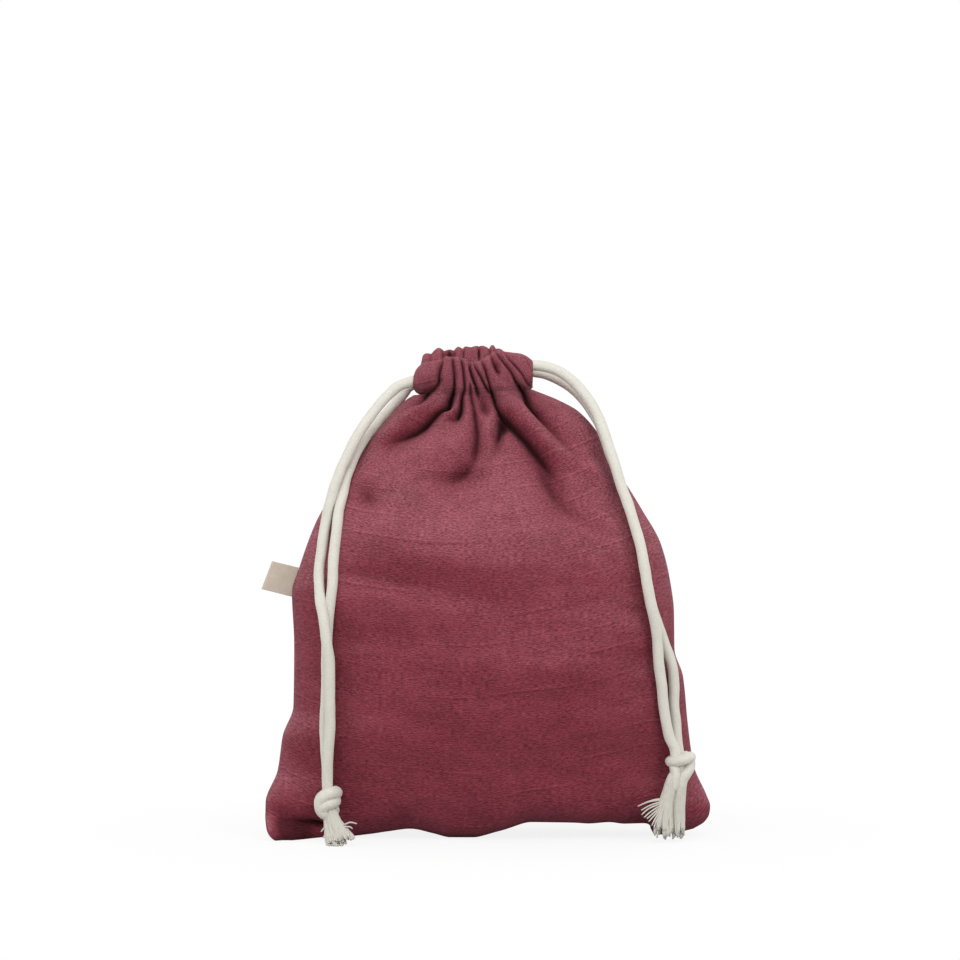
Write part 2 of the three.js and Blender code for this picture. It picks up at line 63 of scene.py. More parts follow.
def through(points):
    # Cubic pieces between points with rising first values; each slope is the harmonic mean of its
    # neighbours' slopes, or level at a peak, so the curve never overshoots
    table = np.array(points, float)
    knots, values = table[:, 0], table[:, 1]
    gaps = np.diff(knots)
    slopes = np.diff(values) / gaps
    product, total = slopes[:-1] * slopes[1:], slopes[:-1] + slopes[1:]
    inner = np.where(product > 0, 2 * product / np.where(total == 0, 1, total), 0)
    tangents = np.concatenate([slopes[:1], inner, slopes[-1:]])

    def at(value):
        value = np.asarray(value, float)
        i = np.clip(np.searchsorted(knots, value, side="right") - 1, 0, len(gaps) - 1)
        t = np.clip((value - knots[i]) / gaps[i], 0, 1)
        t2, t3 = t * t, t * t * t
        return ((2 * t3 - 3 * t2 + 1) * values[i] + (t3 - 2 * t2 + t) * gaps[i] * tangents[i]
                + (3 * t2 - 2 * t3) * values[i + 1] + (t3 - t2) * gaps[i] * tangents[i + 1])

    return at


def runLengths(points, axis=0):
    # How far each point is from the first one, along this axis of the grid
    steps = np.cumsum(np.linalg.norm(np.diff(points[..., :3], axis=axis), axis=-1), axis=axis)
    return np.concatenate([0 * steps.take([0], axis), steps], axis)


def smoothLine(points, count=None, step=None):
    # A centripetal Catmull-Rom curve through the points, in even steps of length
    p = np.array(points, float)
    p = np.vstack([2 * p[0] - p[1], p, 2 * p[-1] - p[-2]])
    dt = np.sqrt(np.linalg.norm(np.diff(p[:, :3], axis=0), axis=1))[:, None] + 1e-9
    before, after, both = dt[:-1], dt[1:], dt[:-1] + dt[1:]
    tangent = (p[2:] - p[1:-1]) / after - (p[2:] - p[:-2]) / both + (p[1:-1] - p[:-2]) / before
    t = np.linspace(0, 1, 40, endpoint=False)[None, :, None]
    a, b, g = p[1:-2, None], p[2:-1, None], dt[1:-1, None]
    ma, mb = tangent[:-1, None] * g, tangent[1:, None] * g
    dense = ((2 * t**3 - 3 * t**2 + 1) * a + (t**3 - 2 * t**2 + t) * ma
             + (3 * t**2 - 2 * t**3) * b + (t**3 - t**2) * mb)
    dense = np.vstack([dense.reshape(-1, p.shape[1]), p[-2:-1]])
    length = runLengths(dense)
    at = np.linspace(0, length[-1], count or max(3, int(round(length[-1] / step)) + 1))
    return np.stack([np.interp(at, length, column) for column in dense.T], axis=1)


def unit(v):
    return v / np.maximum(np.linalg.norm(v, axis=-1, keepdims=True), 1e-12)


def ease(value, low, high):
    t = np.clip((value - low) / (high - low), 0, 1)
    return t * t * (3 - 2 * t)


def mixValues(a, b, t):
    return a + (b - a) * t


def carriedFrames(path, start):
    # At each ring the sideways vector of the ring before it, made square to the new direction, and the one
    # square to both
    along = unit(np.gradient(path, axis=0))
    side = np.empty_like(along)
    v = np.array(start, float)
    for i, t in enumerate(along):
        v = unit(v - t * (v @ t))
        side[i] = v
    return side, np.cross(along, side)


def turns(count):
    return np.arange(count) / count * 2 * np.pi


def circles(angle, side, up):
    return np.cos(angle)[:, None] * side[..., None, :] + np.sin(angle)[:, None] * up[..., None, :]


# Meshes. A part is a dictionary of points, four- and three-sided faces and their corners' UVs

def tubePart(rings, lengths):
    # rings is [tube, ring, around, xyz]; lengths is each ring's distance along its tube in metres. The UV is
    # (distance, share of the way round), and each end is closed by a fan to its middle
    rings = rings if rings.ndim == 4 else rings[None]
    k, r, c, _ = rings.shape
    lengths = np.broadcast_to(lengths, (k, r))
    index = np.arange(k * r * c).reshape(k, r, c)
    turned = np.roll(index, -1, axis=2)
    quads = np.stack([index[:, :-1], turned[:, :-1], turned[:, 1:], index[:, 1:]], -1).reshape(-1, 4)
    share, after = np.arange(c) / c, (np.arange(c) + 1) / c
    u = np.broadcast_to(lengths[:, :, None], (k, r, c))
    v0, v1 = np.broadcast_to(share, (k, r - 1, c)), np.broadcast_to(after, (k, r - 1, c))
    corners = [(u[:, :-1], v0), (u[:, :-1], v1), (u[:, 1:], v1), (u[:, 1:], v0)]
    quadUv = np.stack([np.stack(p, -1) for p in corners], -2).reshape(-1, 4, 2)
    poles = np.concatenate([rings[:, 0].mean(axis=1), rings[:, -1].mean(axis=1)])
    first, last = k * r * c + np.arange(k)[:, None], k * r * c + k + np.arange(k)[:, None]
    start = np.stack([first + 0 * index[:, 0], turned[:, 0], index[:, 0]], -1).reshape(-1, 3)
    end = np.stack([last + 0 * index[:, -1], index[:, -1], turned[:, -1]], -1).reshape(-1, 3)
    ends = np.stack([lengths[:, 0], lengths[:, -1]])[:, :, None]
    triUv = np.stack([np.broadcast_to(ends, (2, k, c)).reshape(-1)] * 3, -1)
    around = np.tile(np.stack([share, after, share], -1), (2 * k, 1))
    return {"points": np.vstack([rings.reshape(-1, 3), poles]), "quads": quads, "quadUv": quadUv,
            "tris": np.vstack([start, end]), "triUv": np.stack([triUv, around], -1)}


def sheetPart(grid, uv, flip=False, marks=None):
    # An open sheet from a [row, column] grid of points, with a UV for each point. marks are values for each point
    # that its material reads
    r, c, _ = grid.shape
    index = np.arange(r * c).reshape(r, c)
    quads = np.stack([index[:-1, :-1], index[:-1, 1:], index[1:, 1:], index[1:, :-1]], -1).reshape(-1, 4)
    if flip:
        quads = quads[:, ::-1]
    return {"points": grid.reshape(-1, 3), "quads": quads, "quadUv": uv.reshape(-1, 2)[quads],
            "tris": np.zeros((0, 3), int), "triUv": np.zeros((0, 3, 2)), "marks": marks or {}}


def makePiece(name, parts, material, body, nodes=()):
    # Joins the parts into one smooth mesh that stands for the nodes and moves with the body
    parts = parts if isinstance(parts, list) else [parts]
    offsets = np.cumsum([0] + [len(part["points"]) for part in parts])
    points, quadUv, triUv = (np.vstack([part[key] for part in parts]) for key in ("points", "quadUv", "triUv"))
    quads, tris = (np.vstack([part[key] + k for part, k in zip(parts, offsets)]) for key in ("quads", "tris"))
    mesh = bpy.data.meshes.new(name)
    mesh.vertices.add(len(points))
    mesh.vertices.foreach_set("co", (points * mm).astype(np.float32).ravel())
    corners = np.concatenate([quads.ravel(), tris.ravel()]).astype(np.int32)
    mesh.loops.add(len(corners))
    mesh.loops.foreach_set("vertex_index", corners)
    starts = np.concatenate([np.arange(len(quads)) * 4, len(quads) * 4 + np.arange(len(tris)) * 3])
    mesh.polygons.add(len(starts))
    mesh.polygons.foreach_set("loop_start", starts.astype(np.int32))
    mesh.update(calc_edges=True)
    layer = mesh.uv_layers.new(name="thread")
    uv = np.concatenate([quadUv.reshape(-1, 2), triUv.reshape(-1, 2)])
    layer.data.foreach_set("uv", uv.astype(np.float32).ravel())
    for mark, values in parts[0].get("marks", {}).items():
        mesh.attributes.new(mark, "FLOAT", "POINT").data.foreach_set("value", values.astype(np.float32).ravel())
    mesh.validate()
    mesh.shade_smooth()
    piece = bpy.data.objects.new(name, mesh)
    scene.collection.objects.link(piece)
    mesh.materials.append(material)
    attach(piece, body)
    if nodes:
        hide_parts(*nodes)
    return piece


# Materials

class Wire:
    # A value in a node tree. Arithmetic on it adds Math nodes
    def __init__(self, tree, socket):
        self.tree, self.socket = tree, socket

    def math(self, operation, *values, clamp=False):
        node = self.tree.nodes.new("ShaderNodeMath")
        node.operation, node.use_clamp = operation, clamp
        for place, value in zip(node.inputs, values):
            plug(self.tree, place, value)
        return Wire(self.tree, node.outputs[0])

    def __add__(self, other):
        return self.math("ADD", self, other)

    def __sub__(self, other):
        return self.math("SUBTRACT", self, other)

    def __rsub__(self, other):
        return self.math("SUBTRACT", other, self)

    def __mul__(self, other):
        return self.math("MULTIPLY", self, other)

    __radd__, __rmul__ = __add__, __mul__

    def sine(self):
        return self.math("SINE", self)

    def absolute(self):
        return self.math("ABSOLUTE", self)

    def power(self, exponent):
        return self.math("POWER", self, exponent)

    def between(self, low, high):
        # 0 below low, 1 above high
        return self.math("DIVIDE", self - low, high - low, clamp=True)


def plug(tree, place, value):
    if isinstance(value, Wire):
        tree.links.new(value.socket, place)
    elif isinstance(value, (tuple, list)) and len(value) == 3 and place.type == "RGBA":
        place.default_value = (*value, 1)
    else:
        place.default_value = value


class Finish:
    # A material built from nodes round one Principled shader
    def __init__(self, name):
        self.material = bpy.data.materials.new(name)
        self.material.use_nodes = True
        self.tree = self.material.node_tree
        self.shader = self.tree.nodes["Principled BSDF"]

    def node(self, kind, settings=None, sockets=None, output=0):
        node = self.tree.nodes.new("ShaderNode" + kind)
        for key, value in (settings or {}).items():
            setattr(node, key, value)
        for key, value in (sockets or {}).items():
            plug(self.tree, node.inputs[key], value)
        return Wire(self.tree, node.outputs[output])

    def uv(self, alongScale, acrossScale):
        raw = self.node("UVMap", {"uv_map": "thread"})
        return self.node("VectorMath", {"operation": "MULTIPLY"}, {0: raw, 1: (alongScale, acrossScale, 1)})

    def split(self, vector, last=1):
        node = self.tree.nodes.new("ShaderNodeSeparateXYZ")
        self.tree.links.new(vector.socket, node.inputs[0])
        return [Wire(self.tree, node.outputs[k]) for k in range(last + 1)]

    def place(self, scale):
        raw = self.node("TexCoord", output=3)
        return self.node("VectorMath", {"operation": "MULTIPLY"}, {0: raw, 1: (scale, scale, scale)})

    def noise(self, vector, detail=2, roughness=0.5):
        sockets = {"Vector": vector, "Scale": 1, "Detail": detail, "Roughness": roughness}
        return self.node("TexNoise", None, sockets)

    def mixed(self, share, first, second, kind="MIX"):
        node = self.tree.nodes.new("ShaderNodeMix")
        node.data_type, node.blend_type, node.clamp_factor = "RGBA", kind, True
        plug(self.tree, node.inputs[0], share)
        plug(self.tree, node.inputs[6], first)
        plug(self.tree, node.inputs[7], second)
        return Wire(self.tree, node.outputs[2])

    def finish(self, colour, roughness, height, distance, **constants):
        plug(self.tree, self.shader.inputs["Base Color"], colour)
        plug(self.tree, self.shader.inputs["Roughness"], roughness)
        bump = self.node("Bump", None, {"Strength": 1, "Distance": distance, "Height": height})
        plug(self.tree, self.shader.inputs["Normal"], bump)
        for key, value in constants.items():
            plug(self.tree, self.shader.inputs[key.replace("_", " ")], value)
        return self.material


# Double gauze: two open plain weaves tied together, finely crinkled, with a thicker thread here and there. UV in
# metres of cloth. A painted shade darkens the cloth towards the bottom of its folds, and a painted light makes it
# paler where it faces up, from paler copies of its deep and thread colours.
# "layers" and the fine "grain" are noises: scale along and across in 1/m, detail, roughness, share in the tone and
# share in the height. "marks" are what stands out: scales, the band of the noise that shows, and the same shares
gauze = {
    "deep": (0.122, 0.0114, 0.0216), "thread": (0.324, 0.0545, 0.084), "deepPaintedLight": (0.134, 0.0212, 0.0352),
    "threadPaintedLight": (0.430, 0.128, 0.162), "shadow": (0.034, 0.0010, 0.0028), "tone": 0.44, "roughness": 0.76,
    "pitch": 0.00086, "slubPitch": 0.0134, "tiePitch": 0.0262, "bumpHeight": 0.00045,
    "weaveTone": (0.07, 0.05), "weaveHeight": (0.16, 0.12), "slubTone": (0.20, -0.16), "slubHeight": 0.28,
    "layers": {
        "clouds": (24, 38, 4, 0.6, 0.50, 0), "blotches": (85, 125, 3, 0.6, 0.42, 0),
        "crinkle": (280, 430, 3, 0.6, 0, 1.3), "weftStreaks": (60, 900, 2, 0.6, 0.26, 0.34),
        "warpStreaks": (900, 60, 2, 0.55, 0.16, 0.26), "dashes": (360, 1850, 1, 0.5, 1.7, 1.1),
    },
    "grain": (1700, 1700, 2, 0.6, 0.9, 0.7),
    "marks": {"strays": (26, 620, 0.66, 0.76, 0.13, 0.22), "nubs": (520, 600, 0.66, 0.78, 0.28, 0),
              "pits": (640, 760, 0.63, 0.75, -0.34, 0)},
}


def gauzeFinish():
    f = Finish("doubleGauze")
    u, v = f.split(f.uv(1, 1))

    def noise(along, across, detail=2, roughness=0.5):
        return f.noise(f.uv(along, across), detail, roughness)

    wander = (noise(48, 48) - 0.5) * 14
    weft, warp = ((w * (2 * math.pi / gauze["pitch"]) + wander).sine() for w in (v, u))
    patches = noise(95, 130).between(0.38, 0.64)
    line = v * (2 * math.pi / gauze["slubPitch"]) + (noise(5, 34) - 0.5) * 5
    shown = noise(11, 90).between(0.46, 0.58)
    slub, under = (w.sine().between(0.95, 1.0) * shown for w in (line, line + 0.5))
    tieLine = u * (2 * math.pi / gauze["tiePitch"]) + (noise(7, 4, 1) - 0.5) * 3
    ties = tieLine.sine().between(0.985, 1.0) * noise(60, 30).between(0.44, 0.58)
    (weftTone, warpTone), (weftHeight, warpHeight) = gauze["weaveTone"], gauze["weaveHeight"]
    slubTone, underTone = gauze["slubTone"]
    tone = gauze["tone"] + (weft * weftTone + warp * warpTone) * patches + slub * slubTone + under * underTone \
        + ties * 0.10
    height = (weft * weftHeight + warp * warpHeight) * (0.35 + patches * 0.65) + slub * gauze["slubHeight"]
    for along, across, detail, roughness, inTone, inHeight in (*gauze["layers"].values(), gauze["grain"]):
        layer = noise(along, across, detail, roughness) - 0.5
        tone, height = tone + layer * inTone, height + layer * inHeight
    grain = layer
    for along, across, low, high, inTone, inHeight in gauze["marks"].values():
        mark = noise(along, across, 1, 0.4).between(low, high)
        tone, height = tone + mark * inTone, height + mark * inHeight
    # Painted light: the paler copies of the colours are mixed in where the cloth faces up and at the stitching
    fold, lift = (f.node("Attribute", {"attribute_name": name}, output=2) for name in ("fold", "lift"))
    cloth = f.mixed(tone, f.mixed(lift, gauze["deep"], gauze["deepPaintedLight"]),
                    f.mixed(lift, gauze["thread"], gauze["threadPaintedLight"]))
    # Painted shade: towards the bottom of each crease the colour goes over to the dark "shadow" colour
    colour = f.mixed(fold.power(2.5), cloth, gauze["shadow"])
    return f.finish(colour, gauze["roughness"] + grain * 0.1 + fold * 0.2, height, gauze["bumpHeight"],
                    Sheen_Weight=0.06, Sheen_Roughness=0.4, Sheen_Tint=(1.0, 0.84, 0.90), Specular_IOR_Level=0.22)


# Soft cotton cord. UV: metres along, share of the way round
# The last two colours are the first two with a painted shade, for the side that faces up
cotton = {"colour": (0.740, 0.715, 0.642), "shade": (0.626, 0.604, 0.538), "paintedTopShade": (0.640, 0.618, 0.555),
          "paintedTopShadeDull": (0.545, 0.526, 0.470), "cloudScale": 120, "bumpHeight": 0.00032}


def cordFinish(name, alongScale, aroundScale, fineness, pale):
    # The side that faces up is painted a little darker, a painted shade that evens out the stronger light from above
    f = Finish(name)
    up = f.split(f.node("TexCoord", output=1), 2)[2].between(-0.1, 0.9)
    strands = f.noise(f.uv(alongScale, aroundScale), 3, 0.6)
    fuzz, clouds = f.noise(f.place(fineness), 3, 0.65), f.noise(f.place(cotton["cloudScale"]))
    bright, dull, topShadeBright, topShadeDull = (
        [v * pale for v in cotton[key]] for key in ("colour", "shade", "paintedTopShade", "paintedTopShadeDull"))
    colour = f.mixed(strands.between(0.3, 0.7) * 0.7 + clouds.between(0.35, 0.7) * 0.3,
                     f.mixed(up, dull, topShadeDull), f.mixed(up, bright, topShadeBright))
    return f.finish(colour, 0.88 + fuzz * 0.08, strands * 0.8 + fuzz * 0.7, cotton["bumpHeight"],
                    Sheen_Weight=0.18, Sheen_Roughness=0.5, Specular_IOR_Level=0.25)


# The label's tape: fine ribs and a crossing weave. UV in metres
tape = {"dull": (0.523, 0.447, 0.361), "bright": (0.646, 0.570, 0.475), "ribPitch": 0.00055, "cross": (0.0008, 0.0011),
        "bumpHeight": 0.00014}


def tapeFinish():
    f = Finish("labelTape")
    u, v = f.split(f.uv(1, 1))
    ribs = (v * (math.pi / tape["ribPitch"])).sine().absolute()
    cross = (u * (math.pi / tape["cross"][0]) + v * (math.pi / tape["cross"][1])).sine()
    grain, clouds = f.noise(f.uv(1800, 1800), 2, 0.6), f.noise(f.uv(180, 180), 3)
    colour = f.mixed(clouds.between(0.3, 0.7) * 0.5 + ribs * 0.3, tape["dull"], tape["bright"])
    return f.finish(colour, 0.84 + grain * 0.1, ribs * 0.4 + cross * 0.12 + grain * 0.6, tape["bumpHeight"],
                    Specular_IOR_Level=0.3)


# Sewing thread, with "twist" turns of its wave a metre
sewing = {"dark": (0.120, 0.020, 0.032), "pale": (0.270, 0.062, 0.085), "twist": 6000, "bumpHeight": 0.00005}


def threadFinish():
    f = Finish("seamThread")
    along, around = f.split(f.uv(1, 1))
    wave = (along * sewing["twist"] + around * 6.283).sine()
    colour = f.mixed(wave * 0.5 + 0.5, sewing["dark"], sewing["pale"])
    return f.finish(colour, 0.8 - wave * 0.05, wave, sewing["bumpHeight"], Specular_IOR_Level=0.3)


gauzeCloth = gauzeFinish()
cordCotton = cordFinish("cordCotton", 900, 14, 1500, 1.0)
strandCotton = cordFinish("strandCotton", 260, 5, 2400, 0.9)
labelTape = tapeFinish()
seamThread = threadFinish()
print("finishes made")

# The two cords' legs: from the casings' ends, where each turns on its joint, down over the front to the knots.
# "uneven" is how much the radius changes along the cord, and how far from round it gets
cordSpec = {"diameter": 6.0, "radius": 2.75, "laneOffset": 8.5, "lower": 240.5, "upper": 247.5, "ringStep": 0.42,
            "sides": 60, "carriers": 10, "relief": 0.15, "uneven": (0.022, 0.035)}
legRoutes = {
    "left_cord_front_leg": [[-41.3, -8.5, 238.9], [-46, -8.9, 236.9], [-49.8, -9.4, 233.7], [-54.6, -10.5, 228.7],
        [-59.3, -12.2, 222.7], [-63.9, -14, 216.2], [-67, -15.2, 211.1], [-70.2, -16.2, 205.1], [-72.9, -17.3, 199.1],
        [-75.2, -18.2, 194.5], [-77.3, -19.6, 188.6], [-79.2, -20.6, 183.5], [-80.5, -21.2, 178.5],
        [-82.3, -21.6, 172], [-83.2, -22, 166.4], [-84.1, -23, 161.5], [-85.4, -25.2, 151.1], [-86.6, -27.8, 140.8],
        [-86.2, -31.5, 130.5], [-85.6, -34.2, 125.5], [-83.5, -38.8, 115.3], [-82.2, -40.2, 105.1],
        [-80.6, -39.8, 94.7], [-80.5, -38.5, 79.2], [-80.5, -36.4, 58.3], [-81.3, -35.2, 47.9], [-81.9, -34, 37.4],
        [-81.9, -32.9, 25]],
    "left_cord_back_leg": [[-41.3, 8.3, 237], [-43.8, 7.9, 233.3], [-46.6, 7, 229.8], [-49.7, 5.4, 226.2],
        [-53.1, 3.2, 222.1], [-57.7, 0, 216.8], [-63.7, -5.2, 209.5], [-67.1, -8.8, 204], [-69.9, -11.3, 198],
        [-71.8, -13.4, 192.6], [-73.1, -15.4, 188.9], [-74.2, -17.8, 183.1], [-75.3, -20.2, 177.9],
        [-76.6, -23.3, 171.3], [-77, -25, 167.1], [-77.7, -27.4, 159], [-79, -30.6, 146.1], [-79.4, -33.2, 133.2],
        [-81, -34, 120.3], [-81.9, -33.8, 109.9], [-82.5, -32.8, 94.3], [-82.6, -31.6, 78.7], [-83.5, -30.4, 60.4],
        [-83.1, -29.4, 47.3], [-82.5, -28.4, 36.8], [-82.2, -27.4, 25]],
    "right_cord_front_leg": [[28.2, -8.5, 247.9], [32.5, -8.5, 247.1], [39.8, -8.7, 244.2], [47.4, -9.6, 238.2],
        [54.6, -12, 229.2], [58.7, -14.4, 221.7], [61.9, -17.6, 213.4], [64.3, -20.4, 205.5], [67.6, -23.6, 195.4],
        [70.5, -26.4, 185], [74.2, -29.6, 174.6], [77.2, -32.4, 164.3], [80.1, -34.8, 154], [81.9, -36.4, 143.6],
        [83.6, -36.9, 133.3], [85.5, -36.3, 123], [88, -34.6, 112.5], [89.2, -32.6, 102.1], [90, -31, 91.6],
        [91.5, -29.8, 81.1], [92.5, -28.8, 70.6], [94.2, -27.8, 60.2], [95.9, -27.2, 53.3], [98.3, -27.2, 48.1],
        [99.2, -27.4, 43]],
    "right_cord_back_leg": [[28.2, 8.5, 244.8], [32.7, 7.4, 243.8], [41.3, 4.8, 239.6], [48.2, 1.2, 234.3],
        [54.2, -3.2, 227.1], [59.3, -8, 218.6], [62.4, -11.6, 210.8], [65.4, -15, 201.3], [67.7, -16.8, 195.5],
        [70.8, -20, 185], [74.5, -23.2, 174.6], [77.6, -25.8, 164.2], [80.5, -27.9, 153.8], [82.4, -29.4, 143.4],
        [84.2, -30.2, 133.1], [86.2, -30, 122.7], [89.6, -28, 112.2], [93.4, -26, 101.7], [97.2, -24.2, 91.1],
        [98.4, -22.9, 80.6], [98.4, -22, 70.1], [99.5, -21.7, 59.6], [99.9, -21.8, 52.9], [100.6, -22.2, 47.7],
        [101.3, -22.9, 43]],
}


def braidRelief(around, along):
    # Strands cross in two directions; in each diamond one of them lies on top, as a rounded ridge that dips
    # at both ends of the diamond
    carriers = cordSpec["carriers"]
    pitch = math.pi * cordSpec["diameter"] / carriers
    a, b = around * carriers + along / pitch, around * carriers - along / pitch
    fa, fb = np.mod(a, 1), np.mod(b, 1)
    onTop = np.mod(np.floor(a) + np.floor(b), 2) < 1
    ridge, dip = lambda t: np.sin(np.pi * t) ** 0.6, lambda t: 0.55 + 0.45 * np.sin(np.pi * t)
    return np.where(onTop, ridge(fa) * dip(fb), ridge(fb) * dip(fa)) - 0.6


def slowWave(along, seed, wavelengths=(9, 17, 31)):
    random = np.random.default_rng(seed)
    return sum(np.sin(along * 2 * np.pi / w + random.uniform(0, 6.3)) for w in wavelengths) / len(wavelengths)


def cordRings(route, seed, radius=cordSpec["radius"], relief=cordSpec["relief"]):
    # Rings of the cord's radius with braid relief and a slow change of thickness and flatness. Both ends are
    # round, with the middle of the ball at the route's end
    path = smoothLine(route, step=cordSpec["ringStep"])
    step = np.linalg.norm(path[1] - path[0])
    over = np.arange(int(radius / step), 0, -1)[:, None] * step
    first, last = unit(path[1] - path[0]), unit(path[-1] - path[-2])
    path = np.vstack([path[0] - over * first, path, path[-1] + over[::-1] * last])
    side, up = carriedFrames(path, (0, -1, 0.2))
    distance = np.arange(len(path)) * step
    angle = turns(cordSpec["sides"])
    near = np.minimum(distance, distance[-1] - distance)
    ends = np.sqrt(1 - (1 - np.clip(near / radius, 0.02, 1)) ** 2)
    swelling, oval = cordSpec["uneven"]
    flat = 1 + oval * slowWave(distance, seed + 1, (13, 29))[:, None] * np.cos(2 * angle + distance[:, None] / 14)
    r = radius * (1 + swelling * slowWave(distance, seed))[:, None] * flat
    r = (r + relief * braidRelief(angle[None] / (2 * np.pi), distance[:, None])) * ends[:, None]
    return path[:, None] + r[..., None] * circles(angle, side, up), distance * mm


def cordBody(name):
    return name.split("_")[0] + "_cord"


def makeCords(routes, seeds, body=None):
    pieces = {}
    for seed, (name, route) in zip(seeds, routes.items()):
        part = tubePart(*cordRings(route, seed))
        pieces[name] = makePiece(name + "_cotton", part, cordCotton, body or cordBody(name), [name])
    return pieces


cordLegs = makeCords(legRoutes, (3, 13, 23, 33))
print("cord legs made")


# Each cord inside the two casings: from where its front leg starts, round the far end of the mouth and back
mouthRoutes = {
    "left_cord_mouth_run": [[-41.3, -8.5, 238.9], [-37.6, -8.3, 239.8], [-32, -7.6, 239.8], [-24, -6.8, 239.4],
        [-12, -6.3, 239.2], [0, -6.3, 239.2], [11, -6, 239.5], [17.4, -4.8, 239.8], [20.8, -2.8, 239.9],
        [21.9, 0, 239.9], [21.3, 3.2, 239.9], [18.6, 5.8, 239.8], [12, 7, 239.5], [0, 7, 239.2], [-12, 7, 239.2],
        [-24, 7.2, 239.2], [-32, 7.6, 239.4], [-37.6, 8.2, 238.9], [-41.3, 8.3, 237]],
    "right_cord_mouth_run": [[28.2, -8.5, 247.9], [24.4, -8.5, 247.9], [19, -8.2, 246.6], [12, -7.8, 245.4],
        [0, -7.4, 244.8], [-14, -7, 244.7], [-24, -6.8, 244.7], [-29, -5.4, 244.6], [-31.2, -2.8, 244.6],
        [-31.6, 0, 244.6], [-31.2, 2.8, 244.6], [-29, 5.4, 244.6], [-24, 6.8, 244.7], [-14, 7, 244.9], [0, 7.4, 245],
        [12, 7.8, 245.2], [19, 8.2, 245.4], [24.4, 8.5, 245.4], [28.2, 8.5, 244.8]],
}


makeCords(mouthRoutes, (61, 67), "bag")
print("mouth runs made")

# The bag's outline and depth. They follow the part's source, but the foot and its corners are finer here, and the
# depth is more by up to 3 mm, from about z 110 to 180. Curves are [z, value] or [x, value]. "cornerLean" has how far
# forwards the lower left corner comes and from what height down, "leanFrom" between which x, "level" how far below the
# stitching the cloth starts to face straight out, "quiet" where its slack fades, "neckOut" how far and over what
# heights it comes out to the casings, and "pressed" how much closer the folds are and over what heights
bagShape = {
    "leftEdge": [[0, -109.5], [3, -112.8], [6, -114.4], [12, -115.7], [18, -115.8], [34, -110], [52, -107.5],
        [68, -101.8], [100, -101.4], [128, -102.6], [141, -98.8], [166.4, -89.3], [186, -77], [204.6, -64.4],
        [217.3, -54.3], [230, -42.1], [232.4, -38.2]],
    "rightEdge": [[0, 104], [3.5, 111.4], [6.7, 116.3], [11, 118.7], [14.8, 119.1], [21, 117], [36, 110.5],
        [58, 107.3], [83.7, 104.7], [98, 100.2], [118, 99.9], [134.6, 97.8], [153.7, 93], [172.8, 82.4], [198.2, 67],
        [210.9, 60.7], [223.7, 49.6], [230, 38.4], [235.4, 24.9]],
    "bottomEdge": [[-109.5, 0], [-74, 0], [-62, 1.2], [-50, 3], [-39, 4.4], [-28, 2.2], [-18, 0], [-7, 0], [5, 3.4],
        [18, 8.2], [30, 8], [39.5, 7.7], [46.5, 7.2], [55.7, 7.8], [63.8, 6.8], [74.1, 6.6], [79.5, 4.6], [83.8, 2.2],
        [87.1, 1], [93, 0.3], [100, 1], [105.5, 3.4], [111, 5]],
    "depth": [[0, 27], [15, 32], [30, 36], [60, 42.5], [95, 45.9], [125, 46.7], [143, 46.1], [155, 44.2], [167, 40.6],
        [190, 31.6], [210, 24.6], [225, 18], [233, 13.6], [238, 13]],
    "roundness": [[0, 1.3], [25, 1.15], [60, 0.9], [120, 0.85], [205, 0.85], [228, 0.65], [238, 0.45]],
    "bottomRadius": 26, "footFlattening": 0.6, "mouth": (-38.2, 24.9), "stitch": (232.4, 235.4),
    "cornerLean": [(15, 46), (15, 14)], "leanFrom": (-72, -113), "level": (9, 1), "quiet": (196, 226),
    "neckOut": (1.7, 205, 232), "pressed": (0.42, 231, 238), "columns": 236, "bottomRows": 24, "wallRows": 176,
    "clothWidth": 250, "clothHeight": 262, "clothThickness": 0.9,
}
leftEdge, rightEdge = through(bagShape["leftEdge"]), through(bagShape["rightEdge"])
bottomEdge, depthAt = through(bagShape["bottomEdge"]), through(bagShape["depth"])
roundnessAt = through(bagShape["roundness"])


def stitchHeight(x):
    (x0, x1), (z0, z1) = bagShape["mouth"], bagShape["stitch"]
    return z0 + (z1 - z0) * np.clip((x - x0) / (x1 - x0), 0, 1)


